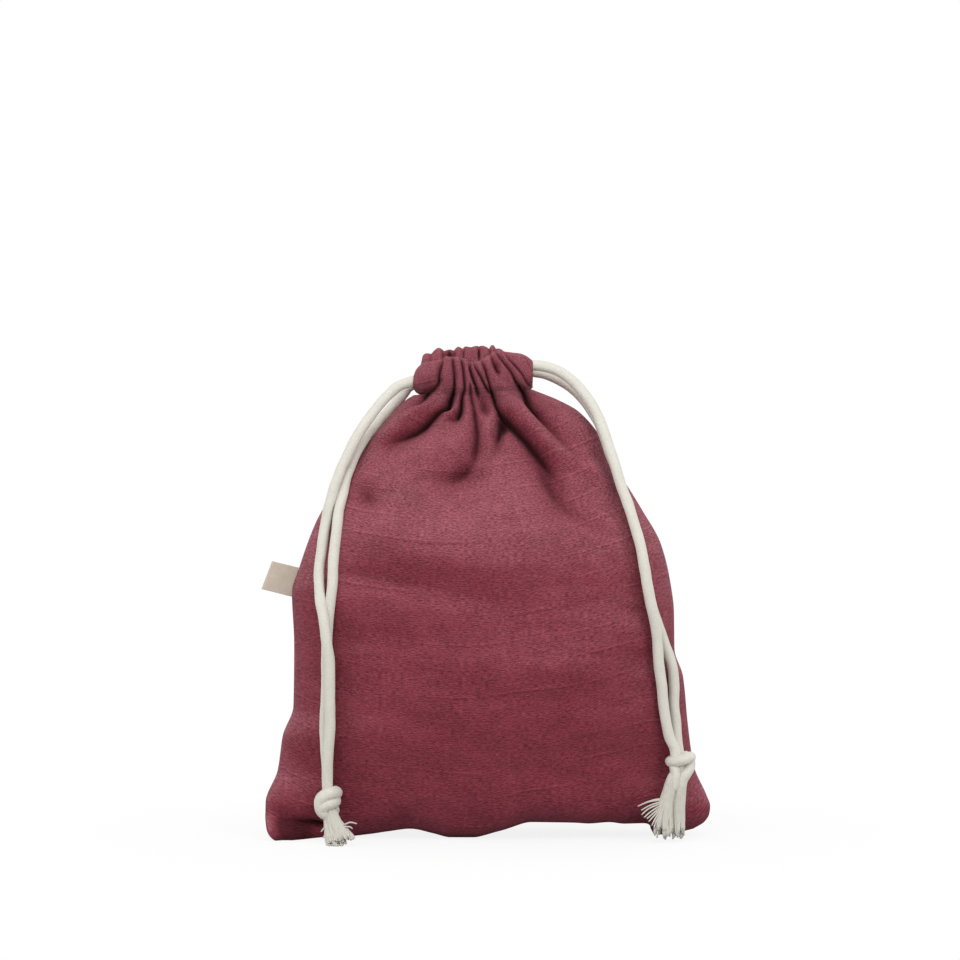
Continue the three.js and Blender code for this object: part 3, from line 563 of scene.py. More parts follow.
# Folds of the front, first the valleys and then the ridges, with each point as (x, z, depth or height, width on the
# line's right hand, width on its left hand)
frontCreases = {
    "knuckleRoll": [(-22, 252.5, 2, 1.5, 1.2), (-22.6, 249.8, 3, 2.2, 1.3), (-23.4, 247, 4, 2.4, 1.4),
        (-24, 244.1, 4.5, 2.5, 1.5), (-24.3, 241.3, 5, 2.5, 1.6), (-24.2, 239, 5.5), (-25, 236.7, 5, 2.5, 1.5),
        (-26.7, 234.9, 4.5, 3, 1.4), (-29, 233.2, 5), (-30.7, 231.6, 5.5), (-32.5, 229.4, 4.5, 3, 1.5),
        (-35.1, 227.5, 4, 3.5, 1.6), (-38.2, 226.4, 3.5, 4, 1.8), (-40.8, 225.2, 3, 4, 2), (-45.6, 222.7, 2.6),
        (-51.3, 218.5, 2, 4, 2.2), (-56.1, 214.7, 1.5, 4, 2.4), (-60.3, 210, 0.8, 4, 2.5), (-65, 204.8, 0)],
    "leftRoll": [(-17.5, 253.2, 2, 1.2), (-17.2, 250.8, 3.5, 1.3), (-16.9, 247.9, 4.5, 1.4, 1.3), (-16.6, 245, 4.5),
        (-16.4, 242.2, 4.5), (-16.3, 239.4, 5), (-16.3, 236.6, 5.5, 1.5, 1.3), (-16.6, 234.3, 6),
        (-17.3, 231.5, 7, 1.5, 1.4), (-18.7, 228.6, 8, 1.5, 1.6), (-20.3, 226.2, 8, 1.5, 1.8),
        (-22.4, 225.1, 6.5, 1.6, 2), (-24.7, 223.8, 6, 1.8, 2.4), (-28.5, 220.6, 6, 2, 3), (-32.7, 217.3, 6, 2, 3.6),
        (-37.4, 214.1, 5.5, 2.2, 4), (-42.6, 211.8, 5, 2.4, 4.5), (-48.2, 209.3, 4.2, 2.6, 5),
        (-53.9, 206.1, 3.2, 3, 5.5), (-58.6, 203.6, 1.6, 3, 6), (-62.9, 201, 0)],
    "second": [(-13.1, 252.2, 2.5, 1.2), (-12.7, 250.3, 3.5), (-12, 247.4, 4.5), (-11.6, 243.6, 4.5),
        (-11.3, 240.6, 4.5), (-11.1, 237.8, 4.5), (-11, 235.5, 4.5), (-11.7, 233.1, 4.5, 1.2, 1.3),
        (-12.4, 230.5, 5, 1.2, 1.4), (-12.8, 228.1, 6, 1.2, 1.5), (-13.3, 225.5, 6.5, 1.3, 1.7),
        (-14, 223.4, 6.5, 1.4, 2), (-15, 221.3, 5, 1.5, 2.4), (-16.3, 219.9, 3.5, 1.6, 2.8),
        (-19.1, 218.9, 1.8, 2, 3), (-22.9, 219.4, 0)],
    "third": [(-9.3, 250.7, 2.5, 1.1), (-8.5, 248.6, 3.5), (-8.1, 246, 4.8), (-7.4, 242.9, 5.5, 1.1, 1.2),
        (-6.6, 240.2, 6), (-5.5, 237.6, 6, 1.2), (-4.7, 235.2, 5.5), (-4, 232.4, 4.5, 1.2, 1.4),
        (-3.6, 230, 2.5, 1.3, 1.6), (-3.2, 228.1, 0)],
    "middle": [(-7.7, 239.4, 0, 1.2), (-8, 236.6, 2.5), (-7.8, 233.1, 3.5, 1.3), (-7.2, 229.6, 4, 1.4),
        (-6.5, 226.5, 4, 1.6, 1.5), (-5.9, 223.6, 4.5, 1.8, 1.6), (-5.4, 220.1, 4.5, 2.2, 1.8),
        (-4.7, 215.4, 4.6, 2.6, 2), (-4.3, 210.7, 4.6, 3, 2.2), (-4.7, 206, 4.5, 3.6, 2.5),
        (-5.5, 201.3, 4.2, 4.2, 3), (-6.8, 197.2, 3.5, 5, 3.6), (-9.1, 193.4, 2.5, 6, 4.5),
        (-12.1, 189.3, 1.2, 7, 5.5), (-15.8, 184.6, 0, 8, 6)],
    "fourth": [(-6.3, 249.5, 2, 1), (-5.7, 247.4, 3), (-4.7, 245.5, 3.6), (-3.8, 243.7, 4), (-2.5, 241.5, 4.4),
        (-1.5, 239.4, 4.5, 1.1, 1), (-0.4, 237.3, 4.5), (0.8, 235.2, 4.8), (1.8, 233.4, 3.5), (2.5, 231.9, 0)],
    "rightRoll": [(-2.6, 251.2, 2.5, 1), (-1.8, 249.1, 3.6, 1, 1.1), (-0.5, 246, 4.4, 1, 1.2), (0.4, 243.1, 4.6),
        (1.1, 240.6, 4.5, 1.1, 1.2), (1.8, 238.3, 4.5), (2.5, 235.9, 5, 1.2, 1.3), (3.2, 233.6, 6.2, 1.3, 1.4),
        (4.2, 231, 6, 1.5, 1.4), (5.7, 227.7, 5.8, 1.8, 1.5), (7.2, 225, 6, 2, 1.6), (8.1, 223.2, 7, 2.4, 1.7),
        (11.4, 219.7, 7.5, 3, 1.8), (15.9, 215.5, 6.5, 3.6, 2), (21.4, 209.7, 6, 4.2, 2.2),
        (27, 203.1, 5.8, 4.8, 2.4), (31.5, 197.8, 5.2, 5.5, 2.7), (35.1, 193, 4.2, 6, 3), (38.2, 188.2, 3, 7, 3.5),
        (41.8, 182.5, 1.5, 8, 4), (45.7, 175.8, 0)],
    "pocket": [(8.9, 222.5, 0, 2, 2.4), (8.4, 220.2, 4, 2, 3), (8, 216.5, 6, 1.8, 3.6), (6.9, 211.9, 5.2, 1.7, 3.6),
        (5.8, 207.9, 3.6), (5.4, 202.8, 1.8, 1.8, 3.6), (5.3, 197.2, 0, 2, 3.6)],
    "hollow": [(2.3, 253.4, 0, 1, 1.6), (2.9, 251.7, 2.6, 1, 2), (3.6, 249.3, 4, 1, 2.4), (4.7, 246.7, 5, 1, 2.8),
        (5.8, 244.6, 4.6, 1.2, 2.6), (7, 242.8, 2.4, 1.6, 2), (7.5, 241.5, 0, 1.8)],
    "shoulderFold": [(4.9, 255.2, 1.5, 1), (6.1, 253.4, 2.4), (7.7, 251.4, 2.8, 1.1, 1), (9.6, 249, 3.2, 1.2, 1),
        (11.9, 246.2, 3.6), (13.6, 243.7, 3.8), (15, 240.9, 4.2, 1.3, 1.1), (16.3, 238.3, 5, 1.4, 1.2),
        (17.8, 236.4, 6, 1.6, 1.5), (18.8, 234.7, 6.2, 1.6, 1.8), (19.9, 232.5, 6.4, 1.6, 2.4),
        (21.1, 230, 6.4, 1.7, 3), (22.9, 227.5, 6.2, 1.8, 3), (25.4, 224.5, 5.6, 2, 3.2), (31, 218.3, 4.4, 2.2, 3.4),
        (36.7, 212.4, 3.6, 2.5, 3.6), (41.7, 206.9, 2.8, 2.8, 4), (46, 202.6, 2.1, 3, 4), (50.5, 198.4, 1.4, 3.2, 4),
        (54.8, 194.4, 0.7, 3.4, 4), (59.9, 189.9, 0)],
    "rightEnd": [(10.1, 253.2, 1.2, 0.8), (12.6, 250.2, 2, 0.8, 0.9), (14.3, 248.4, 2.4), (16.4, 246.2, 2.6),
        (19, 243, 2.8, 0.9, 1), (20.6, 240.2, 3), (21.9, 238.1, 2.8, 1, 1.1), (23.5, 236.5, 2, 1, 1.2),
        (24.9, 235.6, 0, 1, 1.4)],
    "lastPleat": [(19.2, 252.1, 0, 0.8), (21.3, 249.9, 1.4), (23, 247.1, 1.8), (24.1, 244.6, 1.8), (24.7, 242, 1),
        (25, 240.1, 0)],
    "underCord": [(47.6, 213.2, 0, 5, 4), (52.7, 206.9, 0.6, 4), (57.3, 201.3, 1, 4, 3.5), (61, 196.1, 1.2, 4, 3.2),
        (64.9, 189.3, 1, 4, 3), (67.9, 180.8, 0.6), (71.1, 169.5, 0, 5, 3)],
    "softLeft": [(-5.5, 199.7, 0, 5), (-9.5, 194, 4.2, 5, 6), (-15, 190.4, 4.4, 6, 7), (-25, 188.5, 2.8, 7),
        (-31, 187.6, 1.2), (-38, 186.6, 0)],
    "softRight": [(24, 201, 0, 6), (29, 194, 3, 6, 7), (34, 184.5, 4.2, 6, 8), (40.5, 175, 3.4, 7, 8), (50, 167, 2.2),
        (61, 160.5, 1.5, 8), (71, 155, 0)],
    "underBelly": [(-84, 140, 0, 7, 10), (-72, 139, 1.9), (-58, 137, 2.3), (-44, 134.5, 2.3), (-30, 132, 1.7),
        (-14, 129.5, 0.8), (4, 127.5, 0)],
    "leftShoulder": [(-72, 187, 0, 6), (-66, 181.5, 3.6), (-59, 177, 2.4), (-50, 175, 0)],
    "midHollow": [(-2.6, 234, 0, 4), (-1.8, 230, 3.2, 4, 4.4), (-0.8, 226, 4.2, 4.4, 4.6), (0.4, 222.4, 2.8, 4),
        (1, 219.4, 0)],
    "corner": [(-116.4, 14.4, 0, 3), (-113, 13.2, 3.4, 3, 4), (-108.4, 10.8, 5.6, 3.4, 5), (-103.6, 8, 6.6, 3.6, 5),
        (-98.6, 6, 7, 3.8, 4.4), (-92, 5, 6.4, 4), (-86, 4.6, 4.6, 4.4, 3.4), (-80, 4.6, 2.4, 5, 3), (-74.7, 4.8, 0)],
    "cornerCrease": [(-115.4, 7.7, 0, 1.4, 1.6), (-113.5, 4.4, 1.5), (-111.1, 1.1, 1.6), (-108.3, -0.8, 0)],
    "rollPocket": [(-30, 232, 0, 2), (-31, 230.5, 2.4, 2.6), (-32.4, 229, 0, 2)],
    "deepLeft": [(-19.8, 228.4, 0, 2, 2.4), (-21.2, 226.2, 3, 2.2, 2.8), (-23.6, 224.9, 0, 2, 2.4)],
    "deepSecond": [(-14.6, 224.6, 0, 2), (-15.8, 222, 2.4, 2.2, 2.4), (-17.6, 220.4, 0, 2)],
    "deepMiddle": [(7.2, 222, 0, 2.6, 3.4), (8.4, 219.4, 5.2, 3, 3.8), (9.4, 217, 6.4, 3.2, 4.2),
        (9.7, 213.6, 3, 3, 4), (9.2, 210, 0)],
    "footLeft": [(-57.5, 4.2, 0, 3), (-49.4, 8, 1.4, 3.4, 3), (-43, 9.4, 1.8, 4, 3), (-36.7, 10.1, 0)],
    "footRight": [(72.9, 11.6, 0, 3), (79.5, 9.1, 1.6, 3.4, 3), (84.4, 6.7, 2, 3.6, 3), (88.8, 6, 0, 3.4, 3)],
}
frontPuffs = {
    "knuckle": [(-35, 240, 0.4, 4), (-31.5, 241.5, 1.8, 4.5), (-28, 243, 1.4)],
    "pucker": [(-13.8, 227.2, 0, 1.6), (-15.8, 224.3, 1.6), (-20.1, 223.2, 2.2), (-23.9, 224.3, 2.6, 1.8),
        (-26.9, 222.5, 2.2, 2), (-28.9, 218.7, 1, 2.4), (-29.4, 215.4, 0)],
    "shoulderRidge": [(43.1, 204.5, 0, 3.5), (50.4, 198.3, 3.2, 4.2, 4), (56.1, 192.7, 4.4, 4.8, 4.2),
        (61.9, 187.6, 3.2, 5, 4.4), (67.4, 181.2, 1), (71.4, 174.4, 0)],
    "leftBelly": [(-84, 163, 0, 9, 15), (-72, 161, 1.5), (-60, 158.5, 2.1), (-45, 155, 2.2), (-30, 151, 1.9, 9, 14),
        (-12, 147, 1.3, 9, 13), (6, 143, 0.8, 9, 12), (26, 141, 0)],
    "rightBelly": [(-20, 97, 0, 8, 11), (0, 97, 0.5), (20, 91, 0.8), (34, 92, 1.7, 9, 12), (50, 97.5, 3.4, 10, 13),
        (68, 101.5, 3.8), (84, 106, 2.4, 9, 12), (96, 114, 0, 8, 11)],
    "rightLower": [(38, 58, 0, 8, 10), (54, 59.5, 1.1), (69, 61.5, 1.6), (84, 64, 1.1), (96, 66, 0)],
    "midRidge": [(3.2, 220.5, 0, 2.4), (2.1, 215.9, 2, 2.6), (0.9, 210.2, 2.6, 3), (0.4, 202.8, 2.4, 3.4),
        (-0.8, 194.9, 1.5, 4), (-2.5, 186.5, 0, 5)],
    "band": [(3.9, 240.8, 0, 4), (8.6, 236.7, 1.8), (11.9, 232, 2.4, 4.2), (15.6, 227.2, 2.6, 4.4),
        (23.6, 217.7, 2.8, 4.6), (31.5, 209.1, 2.6, 4.8), (39.4, 200.6, 2, 5), (46.2, 192.7, 0)],
    "roll": [(-22, 235.5, 0, 2.4), (-27.6, 230.8, 2.4, 2.6), (-33.7, 226.8, 3.2, 3), (-39.3, 224, 3.4, 3.4),
        (-47.4, 218.4, 3, 3.6), (-54, 212.3, 2, 4), (-59.7, 206.2, 0)],
    "cornerRoll": [(-113.6, 8.4, 0, 2.4), (-110.4, 5.8, 1.8, 2.6), (-104, 4, 1.6, 3), (-95, 2.6, 0)],
}


def backCreases():
    # The back is gathered in the same way, with seeded pleats that run down and fan out towards the sides
    random = np.random.default_rng(41)
    creases = {}
    for i in range(11):
        share = (i + 0.75 + random.uniform(-0.18, 0.18)) / 11.6
        spread = share + (share - 0.5) * random.uniform(0.05, 0.2)
        reach = random.uniform(26, 60) if i % 2 else random.uniform(60, 105)
        deep = random.uniform(3.6, 5.2)
        points = []
        for below in (-20, -12, -4, 3, 10, 0.35 * reach, 0.6 * reach, 0.8 * reach, reach):
            z = 235 - below
            s = mixValues(share, spread, max(0, below) / reach)
            s = s + 0.012 * math.sin(below * 0.21 + i * 1.7)
            left, right = (leftEdge(z), rightEdge(z)) if below > 0 else bagShape["mouth"]
            fade = 1 - max(0, below) / reach
            depth = deep * (0.55 if below < -15 else 1) * fade**0.9
            points.append((float(mixValues(left, right, s)), z, depth, 1.2 + 5 * (1 - fade)))
        creases["pleat" + str(i)] = sorted(points, key=lambda p: -p[1])
    return creases


def withWidths(points):
    # One width serves both sides, and a point without any has those of the point before it
    filled, widths = [], ()
    for point in points:
        widths = point[3:] or widths
        filled.append((*point[:3], widths[0], widths[-1]))
    return filled


def lineField(x, z, lines, profile):
    # For each line: the distance of every point from it, over the line's width on that side, through the
    # profile, times its depth there. Returned for all the lines together. Above the stitching the gathers are
    # pressed closer, so the widths are less
    found, (closer, low, high) = [], bagShape["pressed"]
    for points in lines.values():
        line = smoothLine(withWidths(points), step=0.9)
        track, width = line[:, :2], line[:, 3:5]
        reach = 4.5 * width.max()
        near = ((x > track[:, 0].min() - reach) & (x < track[:, 0].max() + reach)
                & (z > track[:, 1].min() - reach) & (z < track[:, 1].max() + reach))
        value = np.zeros_like(x)
        if near.any():
            p = np.stack([x[near], z[near]], -1)
            along = unit(np.gradient(track, axis=0))
            closest = np.argmin(((p[:, None] - track[None]) ** 2).sum(-1), axis=1)
            offset, t = p - track[closest], along[closest]
            across = t[:, 0] * offset[:, 1] - t[:, 1] * offset[:, 0]
            beyond = np.maximum(np.abs((offset * t).sum(-1)) - 0.45, 0)
            w = np.where(across > 0, width[closest, 1], width[closest, 0]) * (1 - closer * ease(p[:, 1], low, high))
            value[near] = line[closest, 2] * profile(np.hypot(across, beyond) / w)
        found.append(np.maximum(value, 0))
    return np.array(found)


def creaseDepth(x, z, creases):
    # Sharp valleys with rounded shoulders; where two meet, the deeper one rules
    each = lineField(x, z, creases, lambda d: np.exp(0.22 - np.sqrt(d * d + 0.048)))
    return (each**3).sum(0) ** (1 / 3)


def puffHeight(x, z, puffs):
    return lineField(x, z, puffs, lambda d: np.exp(-0.7 * d * d)).sum(0)


def slack(x, z, seed):
    # Soft undulation of cloth that hangs full: waves in many directions, mostly lying flat
    random = np.random.default_rng(seed)
    total = np.zeros_like(x)
    for size, height in ((70, 0.55), (42, 0.42), (25, 0.2), (14, 0.09), (8, 0.05)):
        for _ in range(3):
            turn = random.normal(math.pi / 2, 0.45)
            wave = 2 * math.pi / (size * random.uniform(0.8, 1.2))
            along = wave * (x * math.cos(turn) * 0.8 + z * math.sin(turn))
            total += height / 1.7 * np.sin(along + random.uniform(0, 6.3))
    return total


foldLines = {-1: (frontCreases, frontPuffs), 1: (backCreases(), {})}
# "full" is the crease depth at which the painted crease shade is darkest, "deeper" how much deeper the folds are
# on the panels and on the casings, "deeperChange" between which heights the one gives way to the other, "neckLift"
# how much painted light the cloth has at the stitching, and "lessLift" how much of that painted light the painted
# crease shade takes away. "leanFull" is the corner's lean at which the painted shade underneath it is darkest,
# "underside" how dark that painted shade is, and "rim" over which part of the side
foldShade = {"full": 6.5, "deeper": (1.3, 1.1), "deeperChange": (228, 238), "neckLift": 1.0, "leanFull": 17,
             "underside": 0.92, "rim": (0.16, 0.36), "lessLift": 0.8}


def foldOut(side, x, z):
    creases, puffs = foldLines[side]
    creased = creaseDepth(x, z, creases) * mixValues(*foldShade["deeper"], ease(z, *foldShade["deeperChange"]))
    far, low, high = bagShape["neckOut"]
    return far * ease(z, low, high) - creased + puffHeight(x, z, puffs), creased


def acrossSteps(count):
    # From edge to edge, closer together towards the edges
    s = np.linspace(0, 1, count)
    return mixValues(s, (1 - np.cos(np.pi * s)) / 2, 0.4)


def crownAt(across):
    return np.sin(np.arccos(1 - 2 * across))


def edgeFade(crown):
    return np.minimum(1, crown * 1.6) ** 2


def panelBase(side, across, up):
    # Between the side edges at each height; out by the depth there times the section's crown to its
    # roundness; a quarter turn at the bottom
    crown = crownAt(across)
    edge0, edge1 = bagShape["leftEdge"][0][1], bagShape["rightEdge"][0][1]
    base = bottomEdge(mixValues(edge0, edge1, across))
    radius, foot = bagShape["bottomRadius"], bagShape["footFlattening"]
    turn = np.clip(up, 0, 1) * (math.pi / 2)
    curve = np.maximum(0, (1 - np.sqrt(np.maximum(np.cos(turn), 0))) * radius - foot)
    under = mixValues(turn / (math.pi / 2) * radius, curve * radius / (radius - foot), np.minimum(1, crown * 2.5))
    top = stitchHeight(mixValues(*bagShape["mouth"], across))
    climb = 1 - (1 - np.clip(up - 1, 0, 1)) ** 1.55
    z = np.where(climb > 0, mixValues(base + radius, top, climb), base + under)
    x = mixValues(leftEdge(z), rightEdge(z), across)
    out = depthAt(z) * crown ** roundnessAt(z) * np.sqrt(np.sin(np.maximum(turn, 0)))
    return np.stack([x, side * (0.02 + out), z], -1), crown, top


def cornerLean(x, z):
    # The lower left corner is turned forwards, towards the viewer
    start, end = bagShape["leanFrom"]
    lean = sum(far * ease(top - z, 0, top) for far, top in bagShape["cornerLean"])
    return -lean * ease((start - x) / (start - end), 0, 1)


def gridNormals(grid, side):
    upward, along = np.gradient(grid, axis=0), np.gradient(grid, axis=1)
    return unit(np.cross(along, upward)) * (-side)


# How far each normal faces up, which sets how much painted light the cloth gets
def facingUp(normals):
    return ease(normals[..., 2], -0.19, 0.41)


def panelSurface(side):
    across = acrossSteps(bagShape["columns"])[None]
    up = np.concatenate([np.linspace(0, 1, bagShape["bottomRows"], endpoint=False),
                         1 + np.linspace(0, 1, bagShape["wallRows"])])[:, None]
    across, up = np.broadcast_arrays(across, up)
    base, crown, top = panelBase(side, across, up)
    outwards = gridNormals(base, side)
    x, z = base[..., 0], base[..., 2]
    level = ease(z, top - bagShape["level"][0], top - bagShape["level"][1])
    outwards = unit(mixValues(outwards, np.array([0, side, 0.0]), level[..., None]))
    fade = edgeFade(crown)
    quiet = ease(z, 2, 16) * (1 - 0.75 * ease(z, *bagShape["quiet"]))
    folds, creased = foldOut(side, x, z)
    out = (folds + slack(x, z, 11 + side) * quiet) * fade * ease(up, 0.1, 0.5)
    grid = base + outwards * out[..., None]
    grid[..., 1] = side * np.maximum(0.02, side * grid[..., 1]) + cornerLean(grid[..., 0], grid[..., 2])
    grid[..., 2] = np.maximum(grid[..., 2], 0.15)
    length = runLengths(base)
    hung = bagShape["clothHeight"] - length[-1:] + length
    v = mixValues(length, hung, ease(up / 2, 0.25, 0.75))
    uv = np.stack([across * bagShape["clothWidth"], v], -1) * mm
    # Painted light: paler where the cloth faces up and at the stitching. Painted shade: darker in the creases and
    # under the lower left corner where it leans forwards, with less painted light in both
    lift = mixValues(facingUp(gridNormals(grid + base, side)), foldShade["neckLift"], level)
    under = ease(-cornerLean(x, z) / foldShade["leanFull"], 0.1, 1) * ease(crown, *foldShade["rim"])
    fold = np.maximum(np.clip(creased / foldShade["full"], 0, 1) * fade, foldShade["underside"] * under)
    marks = {"fold": fold, "lift": lift * (1 - under) * (1 - foldShade["lessLift"] * fold)}
    return grid, uv, marks


def solid(piece, thickness):
    wall = piece.modifiers.new("clothThickness", "SOLIDIFY")
    wall.thickness, wall.offset, wall.use_even_offset = thickness * mm, -1, False
    return piece


clothPieces, clothGrids = {}, {}


def makeCloth(kind, surface, thickness, closed):
    for side, name in ((-1, "front_" + kind), (1, "back_" + kind)):
        grid, uv, marks = surface(side)
        clothGrids[name] = grid
        if closed:
            grid, uv = np.vstack([grid, grid[:1]]), np.vstack([uv, uv[-1:]])
            marks = {mark: np.vstack([values, values[:1]]) for mark, values in marks.items()}
        part = sheetPart(grid, uv, side > 0, marks)
        clothPieces[name] = solid(makePiece(name + "_gauze", part, gauzeCloth, "bag", [name]), thickness)


makeCloth("panel", panelSurface, bagShape["clothThickness"], False)
print("panels made")

# The casings: a tube section of [share round it, depth, share of the height], from the outer stitch line
# over the top to the inner one, and the top edge's height along the mouth. "outside", "inside", "bulge" and "hollow"
# turn that depth into millimetres, and the tapers close each end down to the opening where a cord comes out. "lower"
# is how far the folds' own height lifts the edge, and "grooves" are the pleats inside, as (place, depth, width)
casingShape = {
    "section": [[0, 0, 0], [0.06, 0.22, 0.07], [0.15, 0.75, 0.22], [0.27, 1, 0.44], [0.38, 0.9, 0.68],
        [0.47, 0.64, 0.87], [0.53, 0.36, 0.965], [0.58, 0.08, 1], [0.63, -0.18, 0.965], [0.7, -0.45, 0.84],
        [0.8, -0.62, 0.58], [0.9, -0.66, 0.3], [1, -0.58, 0.04]],
    "columns": 300, "around": 104,
    "frontTop": [[-38.2, 242], [-36.1, 247.5], [-32.1, 249.8], [-27.7, 250.2], [-24.4, 250.6], [-20.1, 253.2],
        [-15.4, 252.5], [-11.7, 251.8], [-7.8, 249.6], [-4.8, 250], [-1.7, 251.2], [1.6, 253], [4.9, 255.4],
        [7.2, 256], [10.8, 255], [14.3, 254.6], [18.5, 254], [21.1, 252.8], [23.3, 251.2], [25.4, 249.8]],
    "backTop": [[-38.2, 243], [-36.4, 245.6], [-34.6, 248.2], [-33.6, 251.6], [-33, 253.9], [-31.6, 254.7],
        [-29, 254.6], [-27.4, 256], [-24.9, 257.6], [-23, 256.8], [-22, 256.2], [-19.2, 257.4], [-17, 256.6],
        [-14.4, 258.2], [-12.3, 257.4], [-10.6, 258.4], [-8, 258], [-4.2, 258.8], [-1.5, 258.8], [0.2, 258.2],
        [1.9, 257.2], [3.7, 259.2], [5.5, 257.4], [7.4, 257.2], [10.9, 255.4], [14, 255], [18.5, 254.4], [21.1, 253],
        [23.3, 251.4], [25.4, 249.8]],
    "outside": 14.4, "inside": 9.2, "bulge": 5.2, "hollow": 8.5, "clothThickness": 0.5, "leftTaper": {-1: 12.5, 1: 7},
    "rightTaper": 4, "opening": 0.42, "lower": {-1: 0.4, 1: 0},
    "grooves": [(-28.9, 0.9, 1), (-22.4, 1.2, 0.6), (-19.3, 5, 1.7), (-16.6, 1, 0.6), (-11.8, 1.8, 0.8),
        (-7.4, 0.6, 0.8), (-3.5, 3, 0.9), (-0.6, 0.7, 0.7), (2.2, 1.6, 0.7), (5.6, 1.8, 0.7), (9.6, 0.9, 0.9),
        (14.4, 0.6, 1), (19.6, 0.6, 1)],
}


def casingSurface(side):
    # Rows go round the section and columns along the mouth
    across = acrossSteps(casingShape["columns"])[None]
    q = np.linspace(0, 1, casingShape["around"])[:, None]
    x0, x1 = bagShape["mouth"]
    x = mixValues(x0, x1, across) + 0 * q
    crown, bottom = crownAt(across), stitchHeight(x)
    start = 0.02 + depthAt(bottom) * crown ** roundnessAt(bottom)
    section = np.array(casingShape["section"])
    belly, rise = through(section[:, :2])(q), through(section[:, [0, 2]])(q)
    fade = edgeFade(crown)
    topEdge = through(casingShape["frontTop" if side < 0 else "backTop"])(x) - casingShape["lower"][side] * fade
    outer = mixValues(start, casingShape["outside"], np.clip(belly, 0, 1))
    inner = casingShape["inside"] + np.maximum(belly, 0) * casingShape["bulge"]
    y = np.where(q < 0.3, outer, inner + np.minimum(belly, 0) * casingShape["hollow"])
    z = mixValues(bottom, topEdge, rise)
    base = np.stack([x, side * mixValues(outer, y, ease(q, 0.22, 0.34)), z], -1)
    level = (1 - ease(q, 0.02, 0.14))[..., None]
    outwards = unit(mixValues(gridNormals(base, side), np.array([0, side, 0.0]), level))
    folds, creased = foldOut(side, x, z)
    groove = sum(deep * np.exp(-np.abs(x - at) / wide) for at, deep, wide in casingShape["grooves"])
    turnedIn, below = ease(q, 0.46, 0.60), 1 - 0.8 * ease(q, 0.70, 0.80)
    groove = groove * (0.22 + 0.78 * ease(q, 0.58, 0.645)) * below
    out = mixValues(folds * fade, 0.5 - groove, turnedIn)
    # Painted shade in the creases and in the grooves of the turned-in cloth
    fold = np.clip(mixValues(creased / foldShade["full"], groove / 2.2, turnedIn), 0, 1)
    grid = base + outwards * out[..., None]
    shrink = 1
    for near, power in (((x - x0) / casingShape["leftTaper"][side], 2.2),
                        ((x1 + 0.4 - x) / casingShape["rightTaper"], 4)):
        shrink = shrink * (1 - (1 - np.clip(near, 0, 1)) ** power) ** (1 / power)
    shrink = mixValues(casingShape["opening"], 1, shrink)[..., None]
    centreZ = mixValues(cordSpec["lower"], cordSpec["upper"] - 2, ease(x, x0 + 15, x1 - 15))
    centre = np.stack([x, side * cordSpec["laneOffset"] + 0 * x, centreZ], -1)
    grid = centre + (grid - centre) * shrink
    uv = np.stack([across * bagShape["clothWidth"] + 0 * q, bagShape["clothHeight"] + runLengths(base)], -1) * mm
    # Painted light: pale at the stitching and where the cloth faces up, less so in the painted crease shade
    lift = mixValues(foldShade["neckLift"], facingUp(gridNormals(grid + base, side)), 0.4 * ease(q, 0.05, 0.3))
    return grid, uv, {"fold": fold, "lift": lift * (1 - foldShade["lessLift"] * fold)}


makeCloth("casing", casingSurface, casingShape["clothThickness"], True)
print("casings made")


def strandTubes(paths, radius, sides, taper):
    # Thin round threads: paths is [thread, point, xyz], radius one for all or [thread]; each narrows to taper
    # of that at its end
    along = unit(np.gradient(paths, axis=1))
    side = unit(np.cross(along, np.array([0.13, 0.9, 0.41])))
    share = np.linspace(0, 1, paths.shape[1])
    r = np.broadcast_to(radius, len(paths))[:, None, None] * mixValues(1, taper, share**3)[None, :, None]
    rings = paths[:, :, None] + r[..., None] * circles(turns(sides), side, np.cross(along, side))
    return tubePart(rings, runLengths(paths, 1) * mm)


# Stitching round the mouth: short stitches in a row a little above the foot of each casing. "bow" is how far a stitch
# arches over the cloth, and "sunk" how deep its ends go in
stitchShape = {"length": 2.0, "gap": 1.0, "radius": 0.25, "row": 0.10, "bow": 0.28, "sunk": 0.12, "sides": 6}


def makeStitching():
    row = int(casingShape["around"] * stitchShape["row"])
    for side, name in ((-1, "front"), (1, "back")):
        line = clothGrids[name + "_casing"][row, 6:-6]
        length = runLengths(line)
        starts = np.arange(1, length[-1] - 3, stitchShape["length"] + stitchShape["gap"])
        t = np.linspace(0, 1, 6)
        at = starts[:, None] + stitchShape["length"] * t
        paths = np.stack([np.interp(at, length, line[:, k]) for k in range(3)], -1)
        paths[..., 1] += side * (stitchShape["bow"] * np.sin(np.pi * t) - stitchShape["sunk"])
        threads = strandTubes(paths, stitchShape["radius"], stitchShape["sides"], 1)
        makePiece(name + "_stitching", threads, seamThread, "bag")


makeStitching()


# Seam allowances inside the bag: two raw edges overcast together. "side" and "bottom" are where they start and end
seamShape = {"width": 7.0, "side": (34, 221), "bottom": (-92, 92), "gap": 1.5, "columns": 9, "thickness": 1.2,
             "thread": 0.16, "threadOut": 0.75}


def middleLine(edge):
    return np.stack([edge[:, 0], cornerLean(edge[:, 0], edge[:, 2]), edge[:, 2]], -1)


def makeSeams():
    front = clothGrids["front_panel"]
    for name, edge, axis, inwards in (("left_side_seam", front[:, 0], 2, (1, 0, 0)),
                                      ("right_side_seam", front[:, -1], 2, (-1, 0, 0)),
                                      ("bottom_seam", front[0], 0, (0, 0, 1))):
        low, high = seamShape["side" if axis else "bottom"]
        edge = middleLine(edge[(edge[:, axis] > low) & (edge[:, axis] < high)])
        edge = smoothLine(edge, step=1)
        share = np.linspace(0, 1, seamShape["columns"])
        out = (seamShape["gap"] + seamShape["width"] * share)[None, :, None] * np.array(inwards)
        sway = (0.5 * np.sin(edge[:, axis] / 5)[:, None] * share**2)[..., None] * np.array((0, 1, 0))
        makeAllowance(name, edge[:, None] + out + sway)


